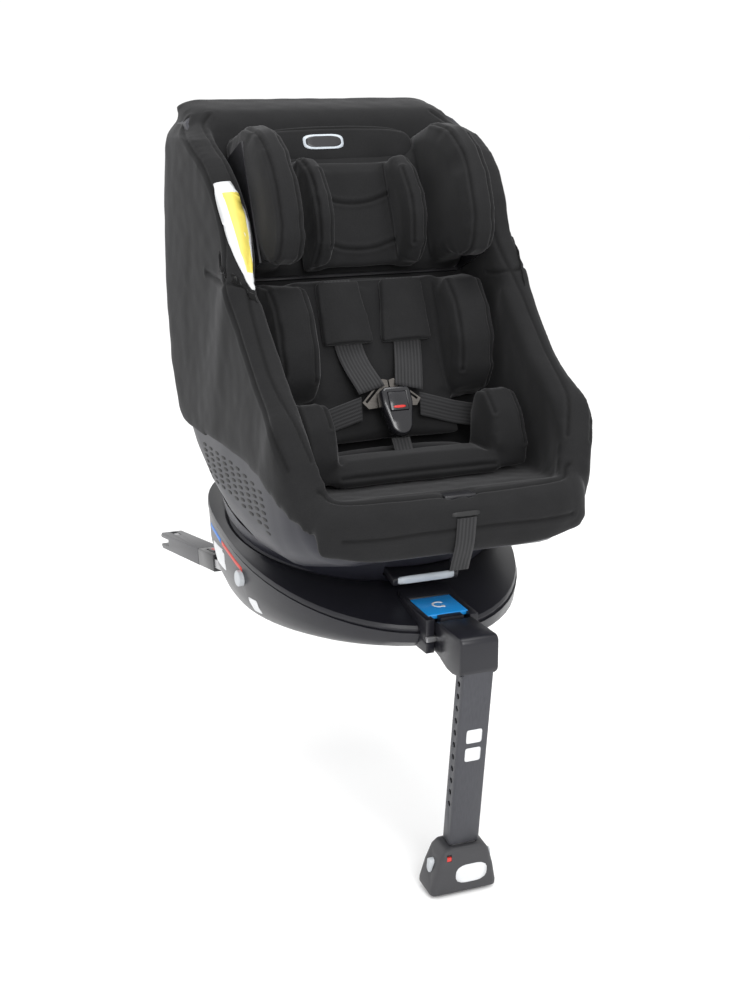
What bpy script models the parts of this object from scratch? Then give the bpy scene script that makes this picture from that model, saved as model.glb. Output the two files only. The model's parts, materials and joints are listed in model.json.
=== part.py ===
"""Rotating group 0+/1 child car seat on an ISOFIX base with a support leg.

Metres, +Z up, the seat's front towards -Y, its own left side towards +X.  The origin is the centre of
the base's flat underside, straight below the turntable's centre, where the base lies on the vehicle seat.
"""

import math

import bmesh
import bpy
from mathutils import Matrix, Vector

# ---------------------------------------------------------------- driving dimensions
GAP = 0.0003                 # clearance between pieces that touch
COVER_GAP = 0.0024           # clearance between the fabric cover and the shell
WALL = 0.003                 # plastic wall of the base

TILT = math.radians(11.6)    # the turntable leans down towards the front
RING_CENTRE = Vector((0.0, 0.0, 0.105))
RING_RADIUS = 0.1795         # hole in the base's top that the turntable fills
RING_LIP = 1.02              # outer edge of the raised lip around that hole

BASE_FLOOR = (0.168, 0.220, 0.180)   # half width, front and rear reach of the flat underside
BASE_CREST = (0.1885, 0.281, 0.207)  # the same at the crest, in the turntable's plane
CREST_DROP = 0.010           # crest below the turntable's plane
RIM_DEPTH = 0.007            # height of the top moulding's outer rim

ISOFIX_SPACING = 0.280       # standard distance between the two anchorages
ARM_SLOPE = math.radians(-9.0)
ARM_START = Vector((0.0, 0.144, 0.008))
ARM_HALF = (0.0145, 0.0062)  # the steel arm's half width and half height
CASE_HALF = (0.0165, 0.0125) # the latch casing's
SLIDER_RISE = 0.0025         # how far the release slider stands out of the casing's top

LEG_PIN = Vector((0.0, -0.288, 0.030))
LEG_PIN_RADIUS = 0.004
LEG_LEAN = math.radians(7.7)
LEG_TOP = Vector((0.0, -0.352, 0.010))
LEG_TUBE = (0.040, 0.022)    # outer tube, across and along the car
LEG_INNER = (0.0350, 0.0170)
TUBE_WALL = 0.0018
LEG_LENGTH = 0.2350          # outer tube below the leg's head
LEG_SOCKET = 0.016
LEG_HOLES = 11
LEG_HOLE_PITCH = 0.0165
FOOT_TOP = 0.2375
FOOT_HEIGHT = 0.062

RECLINE_RADIUS = 0.500       # the seat slides back on an arc of this radius
RECLINE_AXIS_UP = 0.515      # height of that arc's centre above the turntable
RECLINE_AXIS_BACK = -0.025
CRADLE_GAP = 0.0015

SHELL_WALL = 0.004
SHELL_HALF_WIDTH = 0.198
SHELL_CORNER = 0.050

COVER_OUTSIDE = 0.007
COVER_INSIDE = 0.024
COVER_RIM = 0.012
COVER_FLOOR = 0.014
EDGE_SHARES = (0.0, 0.04, 0.08, 0.13, 0.30, 0.65, 1.0)   # points across the cover's outer skin
PAN_WALL = 0.005

BACK_LEAN = math.radians(23.5)
BACK_ORIGIN = Vector((0.0, -0.012, 0.438))   # on the back's padded face, at the headrest's lower edge
COVER_BACK = -0.046          # the cover's face behind the pads, along the back's forward normal

WEBBING = 0.0014
SHOULDER_WEB = 0.038
ADJUSTER_WEB = 0.025

CIRCLE_STEPS = 64

# ---------------------------------------------------------------- frames
TURNTABLE = Matrix.Translation(RING_CENTRE) @ Matrix.Rotation(TILT, 4, "X")
BACK = Matrix.Translation(BACK_ORIGIN) @ Matrix.Rotation(-BACK_LEAN, 4, "X")
LEG = Matrix.Translation(LEG_TOP) @ Matrix.Rotation(LEG_LEAN, 4, "X")
RECLINE_AXIS = TURNTABLE @ Vector((0.0, RECLINE_AXIS_BACK, RECLINE_AXIS_UP))


def arm_frame(side):
    """Frame of one ISOFIX arm: +Y runs back along the arm, +Z is square to it."""
    start = Vector((side * ISOFIX_SPACING / 2, ARM_START.y, ARM_START.z))
    return Matrix.Translation(start) @ Matrix.Rotation(ARM_SLOPE, 4, "X")


# ---------------------------------------------------------------- materials
PLASTICS = {
    "base_black": ((0.016, 0.016, 0.019), 0.42, 0.0),
    "shell_slate": ((0.040, 0.042, 0.055), 0.40, 0.0),
    "grey_plastic": ((0.100, 0.100, 0.104), 0.45, 0.0),
    "foot_grey": ((0.036, 0.036, 0.040), 0.48, 0.0),
    "fabric_black": ((0.023, 0.023, 0.024), 0.92, 0.0),
    "webbing_grey": ((0.070, 0.070, 0.071), 0.85, 0.0),
    "leg_steel": ((0.105, 0.106, 0.115), 0.40, 0.6),
    "steel": ((0.350, 0.350, 0.360), 0.35, 1.0),
    "tongue_bronze": ((0.090, 0.084, 0.078), 0.38, 0.9),
    "button_blue": ((0.010, 0.215, 0.530), 0.35, 0.0),
    "button_grey": ((0.420, 0.440, 0.460), 0.45, 0.0),
    "indicator_red": ((0.500, 0.020, 0.015), 0.35, 0.0),
    "rubber_black": ((0.012, 0.012, 0.012), 0.80, 0.0),
}


def material(name):
    """The named Principled material, made once."""
    found = bpy.data.materials.get(name)
    if found:
        return found
    colour, roughness, metallic = PLASTICS[name]
    made = bpy.data.materials.new(name)
    made.use_nodes = True
    shader = made.node_tree.nodes["Principled BSDF"]
    shader.inputs["Base Color"].default_value = (*colour, 1.0)
    shader.inputs["Roughness"].default_value = roughness
    shader.inputs["Metallic"].default_value = metallic
    return made


# ---------------------------------------------------------------- building helpers
def add_object(name, points, faces, material_name, smooth=None):
    """One named object from points and faces, with its normals pointing out."""
    mesh = bpy.data.meshes.new(name)
    mesh.from_pydata([tuple(p) for p in points], [], faces)
    work = bmesh.new()
    work.from_mesh(mesh)
    if work.calc_volume(signed=True) < 0:
        bmesh.ops.reverse_faces(work, faces=work.faces)
    work.to_mesh(mesh)
    work.free()
    made = bpy.data.objects.new(name, mesh)
    bpy.context.collection.objects.link(made)
    if material_name:
        made.data.materials.append(material(material_name))
    if smooth is not None:
        mesh.shade_smooth()
        mesh.set_sharp_from_angle(angle=math.radians(smooth))
    return made


def loft(name, loops, material_name, closed=False, smooth=None):
    """Skin through loops that hold the same number of points; capped unless the row of loops closes."""
    count = len(loops[0])
    points = [p for loop in loops for p in loop]
    faces = []
    pairs = len(loops) if closed else len(loops) - 1
    for i in range(pairs):
        here = i * count
        there = ((i + 1) % len(loops)) * count
        for j in range(count):
            k = (j + 1) % count
            faces.append((here + j, here + k, there + k, there + j))
    if not closed:
        faces.append(tuple(reversed(range(count))))
        faces.append(tuple(range(len(points) - count, len(points))))
    return add_object(name, points, faces, material_name, smooth)


def extrude_x(name, outline, x_low, x_high, material_name, frame=Matrix(), bevel=0.0, smooth=None):
    """A plate: an outline of (y, z) points in a frame, as thick as x_low to x_high."""
    loops = [[frame @ Vector((x, y, z)) for y, z in outline] for x in (x_low, x_high)]
    made = loft(name, loops, material_name, smooth=smooth)
    if bevel:
        add_bevel(made, bevel)
    return made


def extrude_y(name, outline, y_low, y_high, material_name, frame=Matrix(), bevel=0.0):
    """A plate: an outline of (x, z) points in a frame, as thick as y_low to y_high."""
    loops = [[frame @ Vector((x, y, z)) for x, z in outline] for y in (y_low, y_high)]
    made = loft(name, loops, material_name)
    if bevel:
        add_bevel(made, bevel)
    return made


def extrude_z(name, outline, z_low, z_high, material_name, frame=Matrix(), bevel=0.0, smooth=None):
    """A plate: an outline of (x, y) points in a frame, as thick as z_low to z_high."""
    loops = [[frame @ Vector((x, y, z)) for x, y in outline] for z in (z_low, z_high)]
    made = loft(name, loops, material_name, smooth=smooth)
    if bevel:
        add_bevel(made, bevel)
    return made


def box(name, low, high, material_name, frame=Matrix(), bevel=0.0):
    """A box between two corners in a frame."""
    outline = [(low[1], low[2]), (high[1], low[2]), (high[1], high[2]), (low[1], high[2])]
    return extrude_x(name, outline, low[0], high[0], material_name, frame, bevel)


def turned(name, profile, material_name, frame=Matrix(), steps=CIRCLE_STEPS, closed=False, smooth=30):
    """A body of revolution about the frame's Z axis, from (radius, height) points."""
    loops = []
    for radius, height in profile:
        loop = []
        for i in range(steps):
            angle = 2 * math.pi * i / steps
            loop.append(frame @ Vector((radius * math.cos(angle), radius * math.sin(angle), height)))
        loops.append(loop)
    return loft(name, loops, material_name, closed=closed, smooth=smooth)


def rod_x(name, centre, radius, x_low, x_high, material_name, frame=Matrix(), steps=16):
    """A round rod along X, through the (y, z) centre."""
    outline = arc(centre, radius, 0.0, 2 * math.pi * (steps - 1) / steps, steps)
    return extrude_x(name, outline, x_low, x_high, material_name, frame, smooth=30)


def add_bevel(made, width, segments=2):
    """Round the edges that are sharper than 35 degrees."""
    bevel = made.modifiers.new("bevel", "BEVEL")
    bevel.width = width
    bevel.segments = segments
    bevel.limit_method = "ANGLE"
    bevel.angle_limit = math.radians(35)
    made.data.shade_smooth()
    made.data.set_sharp_from_angle(angle=math.radians(50))


def cut(target, cutter, operation="DIFFERENCE"):
    """Boolean one object with another, which stays as a hidden guide."""
    cutter.hide_render = True
    cutter.display_type = "WIRE"
    boolean = target.modifiers.new(cutter.name, "BOOLEAN")
    boolean.operation = operation
    boolean.solver = "EXACT"
    boolean.object = cutter


def arc(centre, radius, start, end, steps):
    """Points on an arc about a centre, from one angle to another."""
    points = []
    for i in range(steps):
        angle = start + (end - start) * i / (steps - 1)
        points.append((centre[0] + radius * math.cos(angle), centre[1] + radius * math.sin(angle)))
    return points


def rounded_rectangle(half_width, half_height, radius, steps=4, centre=(0.0, 0.0)):
    """A rectangle's outline with round corners, anticlockwise."""
    outline = []
    for quarter, (sx, sy) in enumerate(((1, 1), (-1, 1), (-1, -1), (1, -1))):
        corner = (centre[0] + sx * (half_width - radius), centre[1] + sy * (half_height - radius))
        start = quarter * math.pi / 2
        outline += arc(corner, radius, start, start + math.pi / 2, steps)
    return outline


def egg(sizes, powers=(2.0, 2.0), steps=CIRCLE_STEPS, grow=0.0):
    """A superellipse with its own reach and squareness to the front and to the rear, as (x, y) points."""
    half_width, front, rear = sizes
    outline = []
    for i in range(steps):
        angle = 2 * math.pi * i / steps
        c, s = math.cos(angle), math.sin(angle)
        reach, power = (rear, powers[1]) if s > 0 else (front, powers[0])
        x = (half_width + grow) * math.copysign(abs(c) ** (2 / power), c)
        y = (reach + grow) * math.copysign(abs(s) ** (2 / power), s)
        outline.append((x, y))
    return outline


# ---------------------------------------------------------------- base
FLOOR_POWERS = (2.0, 2.3)
CREST_POWERS = (2.05, 3.2)           # squareness of the crest, front and rear
ADJUST_BUTTON = (-0.043, 0.052)      # (y, z) of the round buttons that free the ISOFIX arms
ADJUST_RADIUS = 0.0105
WALL_LEVELS = ((0.0, 0.0), (0.10, 0.30), (0.30, 0.66), (0.60, 0.92), (1.0, 1.0))


def crest_height(y, depth):
    """Height of the plane that lies this far below the turntable's plane."""
    return RING_CENTRE.z + math.tan(TILT) * y - depth / math.cos(TILT)


def base_wall_loop(level, spread, grow, floor_height, top_depth):
    """One loop of the base's side wall, between the underside's outline and the crest's."""
    low = egg(BASE_FLOOR, FLOOR_POWERS, grow=grow)
    crest = [(x, y * math.cos(TILT)) for x, y in egg(BASE_CREST, CREST_POWERS, grow=grow)]
    loop = []
    for (x0, y0), (x1, y1) in zip(low, crest):
        x = x0 + (x1 - x0) * spread
        y = y0 + (y1 - y0) * spread
        top = crest_height(y1, top_depth)
        loop.append(Vector((x, y, floor_height + (top - floor_height) * level)))
    return loop


def make_base_lower_shell():
    """The tray that lies on the vehicle seat."""
    seam = CREST_DROP + RIM_DEPTH + GAP
    outer = [base_wall_loop(level, spread, 0.0, 0.0, seam) for level, spread in WALL_LEVELS]
    inner = [base_wall_loop(level, spread, -WALL, WALL, seam) for level, spread in WALL_LEVELS]
    shell = loft("base_lower_shell", outer + inner[::-1], "base_black", smooth=40)
    cut(shell, nose_block("nose_pocket_lower", GAP))
    for side in (-1, 1):
        reach, rise = CASE_HALF[0] + 0.0008, CASE_HALF[1] + 0.0008
        slot = box(f"arm_slot_{side}", (-reach, -0.10, -rise), (reach, 0.08, rise + SLIDER_RISE), None,
                   arm_frame(side))
        cut(shell, slot)
        cut(shell, rod_x(f"adjust_hole_{side}", ADJUST_BUTTON, ADJUST_RADIUS + 0.0005,
                         *sorted((side * 0.17, side * 0.21)), None))
    return shell


def plane_loop(outline, height):
    """An (x, y) outline placed in the turntable's plane, at a height above it."""
    return [TURNTABLE @ Vector((x, y, height)) for x, y in outline]


def make_base_upper_shell():
    """The top moulding: an apron from the crest up to the round hole for the turntable."""
    ring = egg((1.0, 1.0, 1.0))
    crest = egg(BASE_CREST, CREST_POWERS)
    inner_crest = egg(BASE_CREST, CREST_POWERS, grow=-0.010)

    def blend(share, height):
        mixed = []
        for (x0, y0), (x1, y1) in zip(ring, crest):
            x = RING_RADIUS * RING_LIP * x0 * (1 - share) + x1 * share
            y = RING_RADIUS * RING_LIP * y0 * (1 - share) + y1 * share
            mixed.append((x, y))
        return plane_loop(mixed, height)

    lip = [(RING_RADIUS * x, RING_RADIUS * y) for x, y in ring]
    loops = [
        plane_loop(crest, -CREST_DROP - RIM_DEPTH),
        plane_loop(crest, -CREST_DROP - 0.003),
        blend(0.965, -CREST_DROP),
        blend(0.60, -0.0075),
        blend(0.25, -0.0030),
        blend(0.0, 0.0),
        plane_loop(lip, -0.0005),
        plane_loop(lip, -0.0060),
        plane_loop(inner_crest, -CREST_DROP - RIM_DEPTH),
    ]
    shell = loft("base_upper_shell", loops, "base_black", closed=True, smooth=40)
    cut(shell, nose_block("nose_pocket_upper", GAP))
    return shell


NOSE_HALF_WIDTH = 0.0345
NOSE_REAR = -0.204
NOSE_FRONT = -0.2895
NOSE_TOP = 0.0585
NOSE_BOTTOM = 0.0125
CHEEK_IN = 0.0160
CHEEK_OUT = 0.0225
CHEEK_RADIUS = 0.0165
BUTTON_REAR = -0.2235
BUTTON_FRONT = -0.2780
BUTTON_DEPTH = 0.008


def nose_outline(grow):
    """Side outline of the nose that carries the leg's hinge."""
    top_rear = crest_height(NOSE_REAR, -0.0035)
    return [
        (NOSE_REAR + grow, NOSE_BOTTOM - grow),
        (NOSE_REAR + grow, top_rear + grow),
        (-0.228, NOSE_TOP + grow),
        (NOSE_FRONT - grow, NOSE_TOP - 0.0035 + grow),
        (NOSE_FRONT - grow, NOSE_BOTTOM - grow),
    ]


def nose_block(name, grow, material_name=None):
    """The nose as a plain block, grown for cutting the shells that it passes through."""
    reach = NOSE_HALF_WIDTH + grow
    return extrude_x(name, nose_outline(grow), -reach, reach, material_name)


def make_leg_bracket():
    """The nose: it holds the rotation button and, in its tongue, the pin of the leg's hinge."""
    nose = nose_block("leg_bracket", 0.0, "base_black")
    tongue = arc(tuple(LEG_PIN.yz), CHEEK_RADIUS, math.radians(95), math.radians(265), 10)
    tongue += [(NOSE_REAR - 0.02, LEG_PIN.z - CHEEK_RADIUS), (NOSE_REAR - 0.02, LEG_PIN.z + CHEEK_RADIUS)]
    cut(nose, extrude_x("bracket_tongue", tongue, -CHEEK_IN + 0.0008, CHEEK_IN - 0.0008, None), "UNION")
    rear = LEG_PIN.y + CHEEK_RADIUS + 0.0012
    for side in (-1, 1):
        x_low, x_high = sorted((side * (CHEEK_IN - 0.0008), side * (CHEEK_OUT + 0.0012)))
        cheek = box(f"cheek_slot_{side}", (x_low, NOSE_FRONT - 0.03, 0.0), (x_high, rear, 0.09), None)
        cut(nose, cheek)
    pocket = box("button_pocket", (-0.0272, BUTTON_FRONT - GAP, NOSE_TOP - BUTTON_DEPTH - 0.005),
                 (0.0272, BUTTON_REAR + GAP, NOSE_TOP + 0.02), None)
    cut(nose, pocket)
    cut(nose, rod_x("hinge_bore", tuple(LEG_PIN.yz), LEG_PIN_RADIUS + GAP, -0.05, 0.05, None))
    return nose


def make_rotation_button():
    """The push button that frees the turntable."""
    outline = [
        (BUTTON_REAR, NOSE_TOP - BUTTON_DEPTH),
        (BUTTON_REAR, NOSE_TOP + 0.0006),
        (BUTTON_FRONT, NOSE_TOP - 0.0022),
        (BUTTON_FRONT, NOSE_TOP - BUTTON_DEPTH),
    ]
    extrude_x("rotation_button", outline, -0.0268, 0.0268, "button_blue", bevel=0.0012)


def make_turntable_support():
    """What carries the turntable inside the base: a pedestal, a bearing race and the lock pin."""
    def tilted_ring(radius, depth):
        flat = [(radius * x, radius * y) for x, y in egg((1.0, 1.0, 1.0), steps=40)]
        return plane_loop(flat, -depth)

    def floor_ring(radius):
        return [Vector((p.x, p.y, WALL + GAP)) for p in tilted_ring(radius, 0.030)]

    pedestal = [floor_ring(0.118), tilted_ring(0.118, 0.030), tilted_ring(0.106, 0.030), floor_ring(0.106)]
    loft("turntable_pedestal", pedestal, "base_black", closed=True, smooth=40)
    race = [(0.107, -0.030 + GAP), (0.117, -0.030 + GAP), (0.117, -0.0225), (0.107, -0.0225)]
    turned("bearing_race", race, "steel", TURNTABLE, steps=40, closed=True)
    pin_frame = TURNTABLE @ Matrix.Translation((0.0, -0.150, 0.0))
    pin = [(0.005, -0.034), (0.005, -0.0105), (0.0035, -0.0090)]
    turned("rotation_lock_pin", pin, "steel", pin_frame, steps=16)


def make_turntable_carrier():
    """The drum that turns on the bearing and cradles the seat on its recline arc."""
    radius = RING_RADIUS - 0.0008
    side = [(0.040, -0.0220), (0.128, -0.0220), (0.140, -0.0070), (radius, -0.0070), (radius, -0.0010)]
    loops = []
    for reach, height in side:
        loops.append(plane_loop([(reach * x, reach * y) for x, y in egg((1.0, 1.0, 1.0))], height))
    for grow, height in ((-0.0035, 0.0015), (0.0050, 0.014), (0.0100, 0.035), (0.0130, 0.070)):
        bowl = egg((radius, radius + 0.006, radius), grow=grow)
        loops.append(plane_loop(bowl, height))
    drum = loft("turntable_carrier", loops, "shell_slate", smooth=40)
    cut(drum, shell_sweep("cradle_cutter", CRADLE_GAP))
    handle_pocket = box("handle_pocket", (-0.0452, -0.230, 0.0118), (0.0452, -0.150, 0.0262), None, TURNTABLE)
    cut(drum, handle_pocket)
    lock_hole = turned("lock_hole", [(0.0062, -0.05), (0.0062, 0.0)], None,
                       TURNTABLE @ Matrix.Translation((0.0, -0.150, 0.0)), 16)
    cut(drum, lock_hole)
    return drum


def shell_sweep(name, grow):
    """The seat shell's lower cross-section turned about the recline axis."""
    profile = []
    for x, depth in shell_contour(0.12, grow):
        profile.append((RECLINE_RADIUS - depth, x))
    profile = [(profile[0][0] - 0.10, profile[0][1])] + profile
    profile = profile + [(r, -x) for r, x in profile[::-1]]
    start = math.radians(-55)
    end = math.radians(75)
    loops = []
    steps = 52
    for i in range(steps + 1):
        angle = start + (end - start) * i / steps
        loop = []
        for radius, x in profile:
            y = RECLINE_AXIS.y + radius * math.sin(angle)
            z = RECLINE_AXIS.z - radius * math.cos(angle)
            loop.append(Vector((x, y, z)))
        loops.append(loop)
    return loft(name, loops, None)


# ---------------------------------------------------------------- seat shell and cover
class Station:
    """One cross-section of the seat's bucket: from the outer skin towards the open front.

    outer and rim are (y, z) points, edge is the depth of the cover's lower edge, and narrow and rim_narrow are
    how far each wall stands in from the shell's full width, at the outer skin and at the rim.
    """

    def __init__(self, outer, rim, edge, narrow=0.0, rim_narrow=0.0):
        self.outer = Vector((0.0, *outer))
        self.rim = Vector((0.0, *rim))
        self.height = (self.rim - self.outer).length
        self.inward = (self.rim - self.outer).normalized()
        self.edge = edge
        self.narrow = (narrow, rim_narrow)

    def place(self, x, depth):
        """A point at x, this deep into the bucket from its outer skin."""
        centre = self.outer + self.inward * depth
        share = min(max(depth / self.height, 0.0), 1.0)
        narrow = self.narrow[0] + (self.narrow[1] - self.narrow[0]) * share
        return Vector((x - math.copysign(min(narrow, abs(x)), x), centre.y, centre.z))

    def floor(self):
        """Depth of the cover's face over the seat pan at the front, over the back higher up."""
        along = self.inward
        pan = (pan_height(self.outer.y) - self.outer.z) / (along.z - PAN_SLOPE * along.y)
        forward = Vector((0.0, -math.cos(BACK_LEAN), math.sin(BACK_LEAN)))
        back = (COVER_BACK - (self.outer - BACK_ORIGIN).dot(forward)) / along.dot(forward)
        if self.outer.y < -0.15:
            return pan
        if self.outer.z > pan_height(self.outer.y):
            return back
        return max(pan, back)


PAN_FRONT = (-0.270, 0.203)
PAN_SLOPE = -0.10


def pan_height(y):
    """Height of the cover's face over the seat pan."""
    return PAN_FRONT[1] + PAN_SLOPE * (y - PAN_FRONT[0])


def arc_station(angle, height, edge, narrow=0.0, rim_narrow=0.0):
    """A station over the recline arc, square to it."""
    turn = math.radians(angle)
    toward = Vector((-math.sin(turn), math.cos(turn)))
    outer = Vector((RECLINE_AXIS.y, RECLINE_AXIS.z)) - RECLINE_RADIUS * toward
    return Station(outer, outer + height * toward, edge, narrow, rim_narrow)


STATIONS = (
    Station((-0.2980, 0.1420), (-0.2620, 0.2450), 0.032, 0.044, 0.010),
    Station((-0.2760, 0.1300), (-0.2400, 0.2830), 0.062, 0.026, -0.001),
    Station((-0.2390, 0.1200), (-0.2080, 0.3040), 0.088, 0.013, -0.005),
    arc_station(-8, 0.225, 0.112, 0.006, -0.007),
    arc_station(2, 0.270, 0.124, 0.002, -0.006),
    arc_station(12, 0.300, 0.116, 0.0, -0.004),
    arc_station(22, 0.322, 0.092, 0.0, 0.003),
    arc_station(30, 0.338, 0.058, 0.0, 0.009),
    Station((0.1720, 0.2120), (-0.0370, 0.4880), 0.020, 0.0, 0.011),
    Station((0.2050, 0.2800), (-0.0220, 0.5200), 0.012, 0.0, 0.009),
    Station((0.2190, 0.3600), (0.0010, 0.5500), 0.012, 0.0, 0.006),
    Station((0.2200, 0.4350), (0.0300, 0.5720), 0.012, 0.0, 0.004),
    Station((0.2200, 0.5100), (0.0620, 0.5880), 0.012, 0.0, 0.002),
    Station((0.2180, 0.5750), (0.0980, 0.6050), 0.012, 0.002, 0.003),
    Station((0.2110, 0.6150), (0.1260, 0.6180), 0.012, 0.007, 0.007),
    Station((0.1950, 0.6370), (0.1420, 0.6270), 0.010, 0.020, 0.020),
)


def refined(stations, parts):
    """The same row of stations with more of them between each two."""
    row = []
    for here, there in zip(stations, stations[1:]):
        for i in range(parts):
            share = i / parts
            outer = here.outer.lerp(there.outer, share).yz
            rim = here.rim.lerp(there.rim, share).yz
            narrow = [a + (b - a) * share for a, b in zip(here.narrow, there.narrow)]
            edge = here.edge + (there.edge - here.edge) * share
            row.append(Station(outer, rim, edge, *narrow))
    return row + [stations[-1]]


ROW = refined(STATIONS, 3)


def shell_contour(height, offset):
    """Half of the bucket's outer contour, rim to middle, as (x, depth) points offset outwards."""
    points = []
    for share in (1.0, 0.7, 0.35):
        depth = SHELL_CORNER + (height - SHELL_CORNER) * share
        points.append((SHELL_HALF_WIDTH + offset, depth))
    radius = SHELL_CORNER + offset
    middle = SHELL_HALF_WIDTH - SHELL_CORNER
    steps = 6
    for i in range(steps + 1):
        turn = math.pi / 2 * i / steps
        points.append((middle + radius * math.cos(turn), SHELL_CORNER - radius * math.sin(turn)))
    return points


def both_sides(half):
    """A half contour continued on the other side."""
    return half + [(-x, depth) for x, depth in half[::-1]]


def make_seat_shell():
    """The moulded bucket: one wall, bent up at both sides and round the back."""
    loops = []
    for station in ROW:
        contour = both_sides(shell_contour(station.height, 0.0))
        contour += both_sides(shell_contour(station.height, -SHELL_WALL))[::-1]
        loops.append([station.place(x, depth) for x, depth in contour])
    return loft("seat_shell", loops, "shell_slate", smooth=40)


def around_shell(depth, offset):
    """Where a skin at an offset outside the shell lies: on the wall, or round the corner below it."""
    if depth >= SHELL_CORNER:
        return SHELL_HALF_WIDTH + offset, depth
    turn = math.asin((SHELL_CORNER - depth) / SHELL_CORNER)
    radius = SHELL_CORNER + offset
    return SHELL_HALF_WIDTH - SHELL_CORNER + radius * math.cos(turn), SHELL_CORNER - radius * math.sin(turn)


def make_seat_cover():
    """The fabric cover with its padding: over both walls, round the rim and across pan and back."""
    loops = []
    wall = SHELL_HALF_WIDTH
    for station in ROW:
        floor = station.floor()
        height = station.height
        skin = COVER_GAP + COVER_OUTSIDE
        inside = -SHELL_WALL - COVER_GAP
        pad = inside - COVER_INSIDE
        depths = [station.edge + (height - station.edge) * share for share in EDGE_SHARES]
        outer = [around_shell(depth, skin) for depth in depths]
        outer.append((wall + skin * 0.4, height + COVER_RIM))
        outer.append((wall + pad * 0.7, height + COVER_RIM))
        for share in (1.0, 0.5, 0.0):
            depth = floor + (height - floor) * share
            outer.append((wall + pad, depth))
        under = [around_shell(depth, COVER_GAP) for depth in depths]
        under.append((wall + COVER_GAP, height + COVER_GAP))
        under.append((wall + inside, height + COVER_GAP))
        for share in (1.0, 0.5, 0.0):
            low = floor - COVER_FLOOR
            depth = low + (height - low) * share
            under.append((wall + inside, depth))
        band = both_sides(outer)
        band += both_sides(under)[::-1]
        loops.append([station.place(x, depth) for x, depth in band])
    return loft("seat_cover", loops, "fabric_black", smooth=40)


def make_inner_shell():
    """The seat pan and back plate that the padded cover lies on."""
    loops = []
    half = SHELL_HALF_WIDTH - SHELL_WALL - 3 * COVER_GAP
    for station in ROW[:-5]:
        top = station.floor() - COVER_FLOOR - GAP * 2
        low = top - PAN_WALL
        loops.append([station.place(x, depth) for x, depth in
                      ((half, top), (-half, top), (-half, low), (half, low))])
    return loft("inner_shell", loops, "base_black")


PANEL_BACK = ((-0.2992, 0.1400), (-0.2751, 0.2125))   # the line on which the panel meets the cover, (y, z)
PANEL_FRONT = (
    (-0.3065, 0.1385), (-0.3170, 0.1580), (-0.3225, 0.1850), (-0.3180, 0.2030), (-0.3060, 0.2105), (-0.2900, 0.2125),
)
PANEL_TAPER = ((0.172, 0.30), (0.160, 0.62), (0.135, 0.86), (0.095, 0.97), (0.0, 1.0))   # (x, share of its depth)
RELEASE_HALF = (0.020, 0.009)
RELEASE_CENTRE = (0.0, -0.298)


def make_cover_panels():
    """The cover's front panel below the seat's edge, and its roof behind the headrest."""
    low, high = (Vector(p) for p in PANEL_BACK)
    along = (high - low).normalized()
    loops = []
    for x, taper in [(-x, taper) for x, taper in PANEL_TAPER] + list(PANEL_TAPER[-2::-1]):
        loop = [low, *(low + along * (Vector(p) - low).dot(along) for p in PANEL_FRONT), high]
        for i, p in enumerate(PANEL_FRONT):
            loop[i + 1] = loop[i + 1].lerp(Vector(p), taper)
        loops.append([Vector((x, *p)) for p in loop])
    front = loft("cover_front_panel", loops, "fabric_black", smooth=40)
    half_x, half_y = RELEASE_HALF
    y = RELEASE_CENTRE[1]
    cut(front, box("release_pocket", (-half_x - GAP, y - half_y - GAP, 0.2010),
                   (half_x + GAP, y + half_y + GAP, 0.22), None))
    roof = [(0.1270, 0.6247), (0.2060, 0.6396), (0.2060, 0.6425), (0.1980, 0.6455), (0.1480, 0.6365),
            (0.1270, 0.6300)]
    extrude_x("cover_top_panel", roof, -0.184, 0.184, "fabric_black")


# ---------------------------------------------------------------- support leg
def make_leg_hinge_pin():
    """The steel pin through the bracket's tongue and both cheeks of the leg's head."""
    reach = NOSE_HALF_WIDTH - 0.001
    rod_x("leg_hinge_pin", tuple(LEG_PIN.yz), LEG_PIN_RADIUS, -reach, reach, "steel")


HEAD_HALF_WIDTH = 0.0248
HEAD_OUTLINE = (
    (-0.2800, 0.0545), (-0.3600, 0.0545), (-0.3655, 0.0500), (-0.3655, 0.0120),
    (-0.3600, 0.0060), (-0.3400, 0.0030), (-0.3250, 0.0040), (-0.2800, 0.0190),
)


def make_leg_head():
    """The folding head of the leg: a block with two cheeks around the bracket's tongue."""
    head = extrude_x("leg_head", HEAD_OUTLINE, -HEAD_HALF_WIDTH, HEAD_HALF_WIDTH, "base_black")
    add_bevel(head, 0.0035)
    pin = tuple(LEG_PIN.yz)
    cut(head, rod_x("head_clearance", pin, 0.0268, -0.04, 0.04, None, steps=32))
    cheek = [(-0.318, 0.0525), (-0.2930, 0.0525)]
    cheek += arc(pin, CHEEK_RADIUS, math.radians(62), math.radians(-100), 10)
    cheek += [(-0.318, 0.0080)]
    for side in (-1, 1):
        x_low, x_high = sorted((side * (CHEEK_IN + 0.0006), side * CHEEK_OUT))
        cut(head, extrude_x(f"cheek_{side}", cheek, x_low, x_high, None), "UNION")
    cut(head, rod_x("head_bore", pin, LEG_PIN_RADIUS + GAP, -0.05, 0.05, None))
    half_x, half_y = LEG_TUBE[0] / 2 + GAP, LEG_TUBE[1] / 2 + GAP
    cut(head, box("tube_socket", (-half_x, -half_y, -0.05), (half_x, half_y, LEG_SOCKET + GAP), None, LEG))


def square_tube(name, size, wall, z_low, z_high, material_name, frame):
    """A rectangular tube along the frame's Z axis."""
    outer = rounded_rectangle(size[0] / 2, size[1] / 2, 0.003, 3)
    inner = rounded_rectangle(size[0] / 2 - wall, size[1] / 2 - wall, 0.003 - wall / 2, 3)
    loops = []
    for outline, z in ((outer, z_low), (outer, z_high), (inner, z_high), (inner, z_low)):
        loops.append([frame @ Vector((x, y, z)) for x, y in outline])
    return loft(name, loops, material_name, closed=True, smooth=40)


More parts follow.
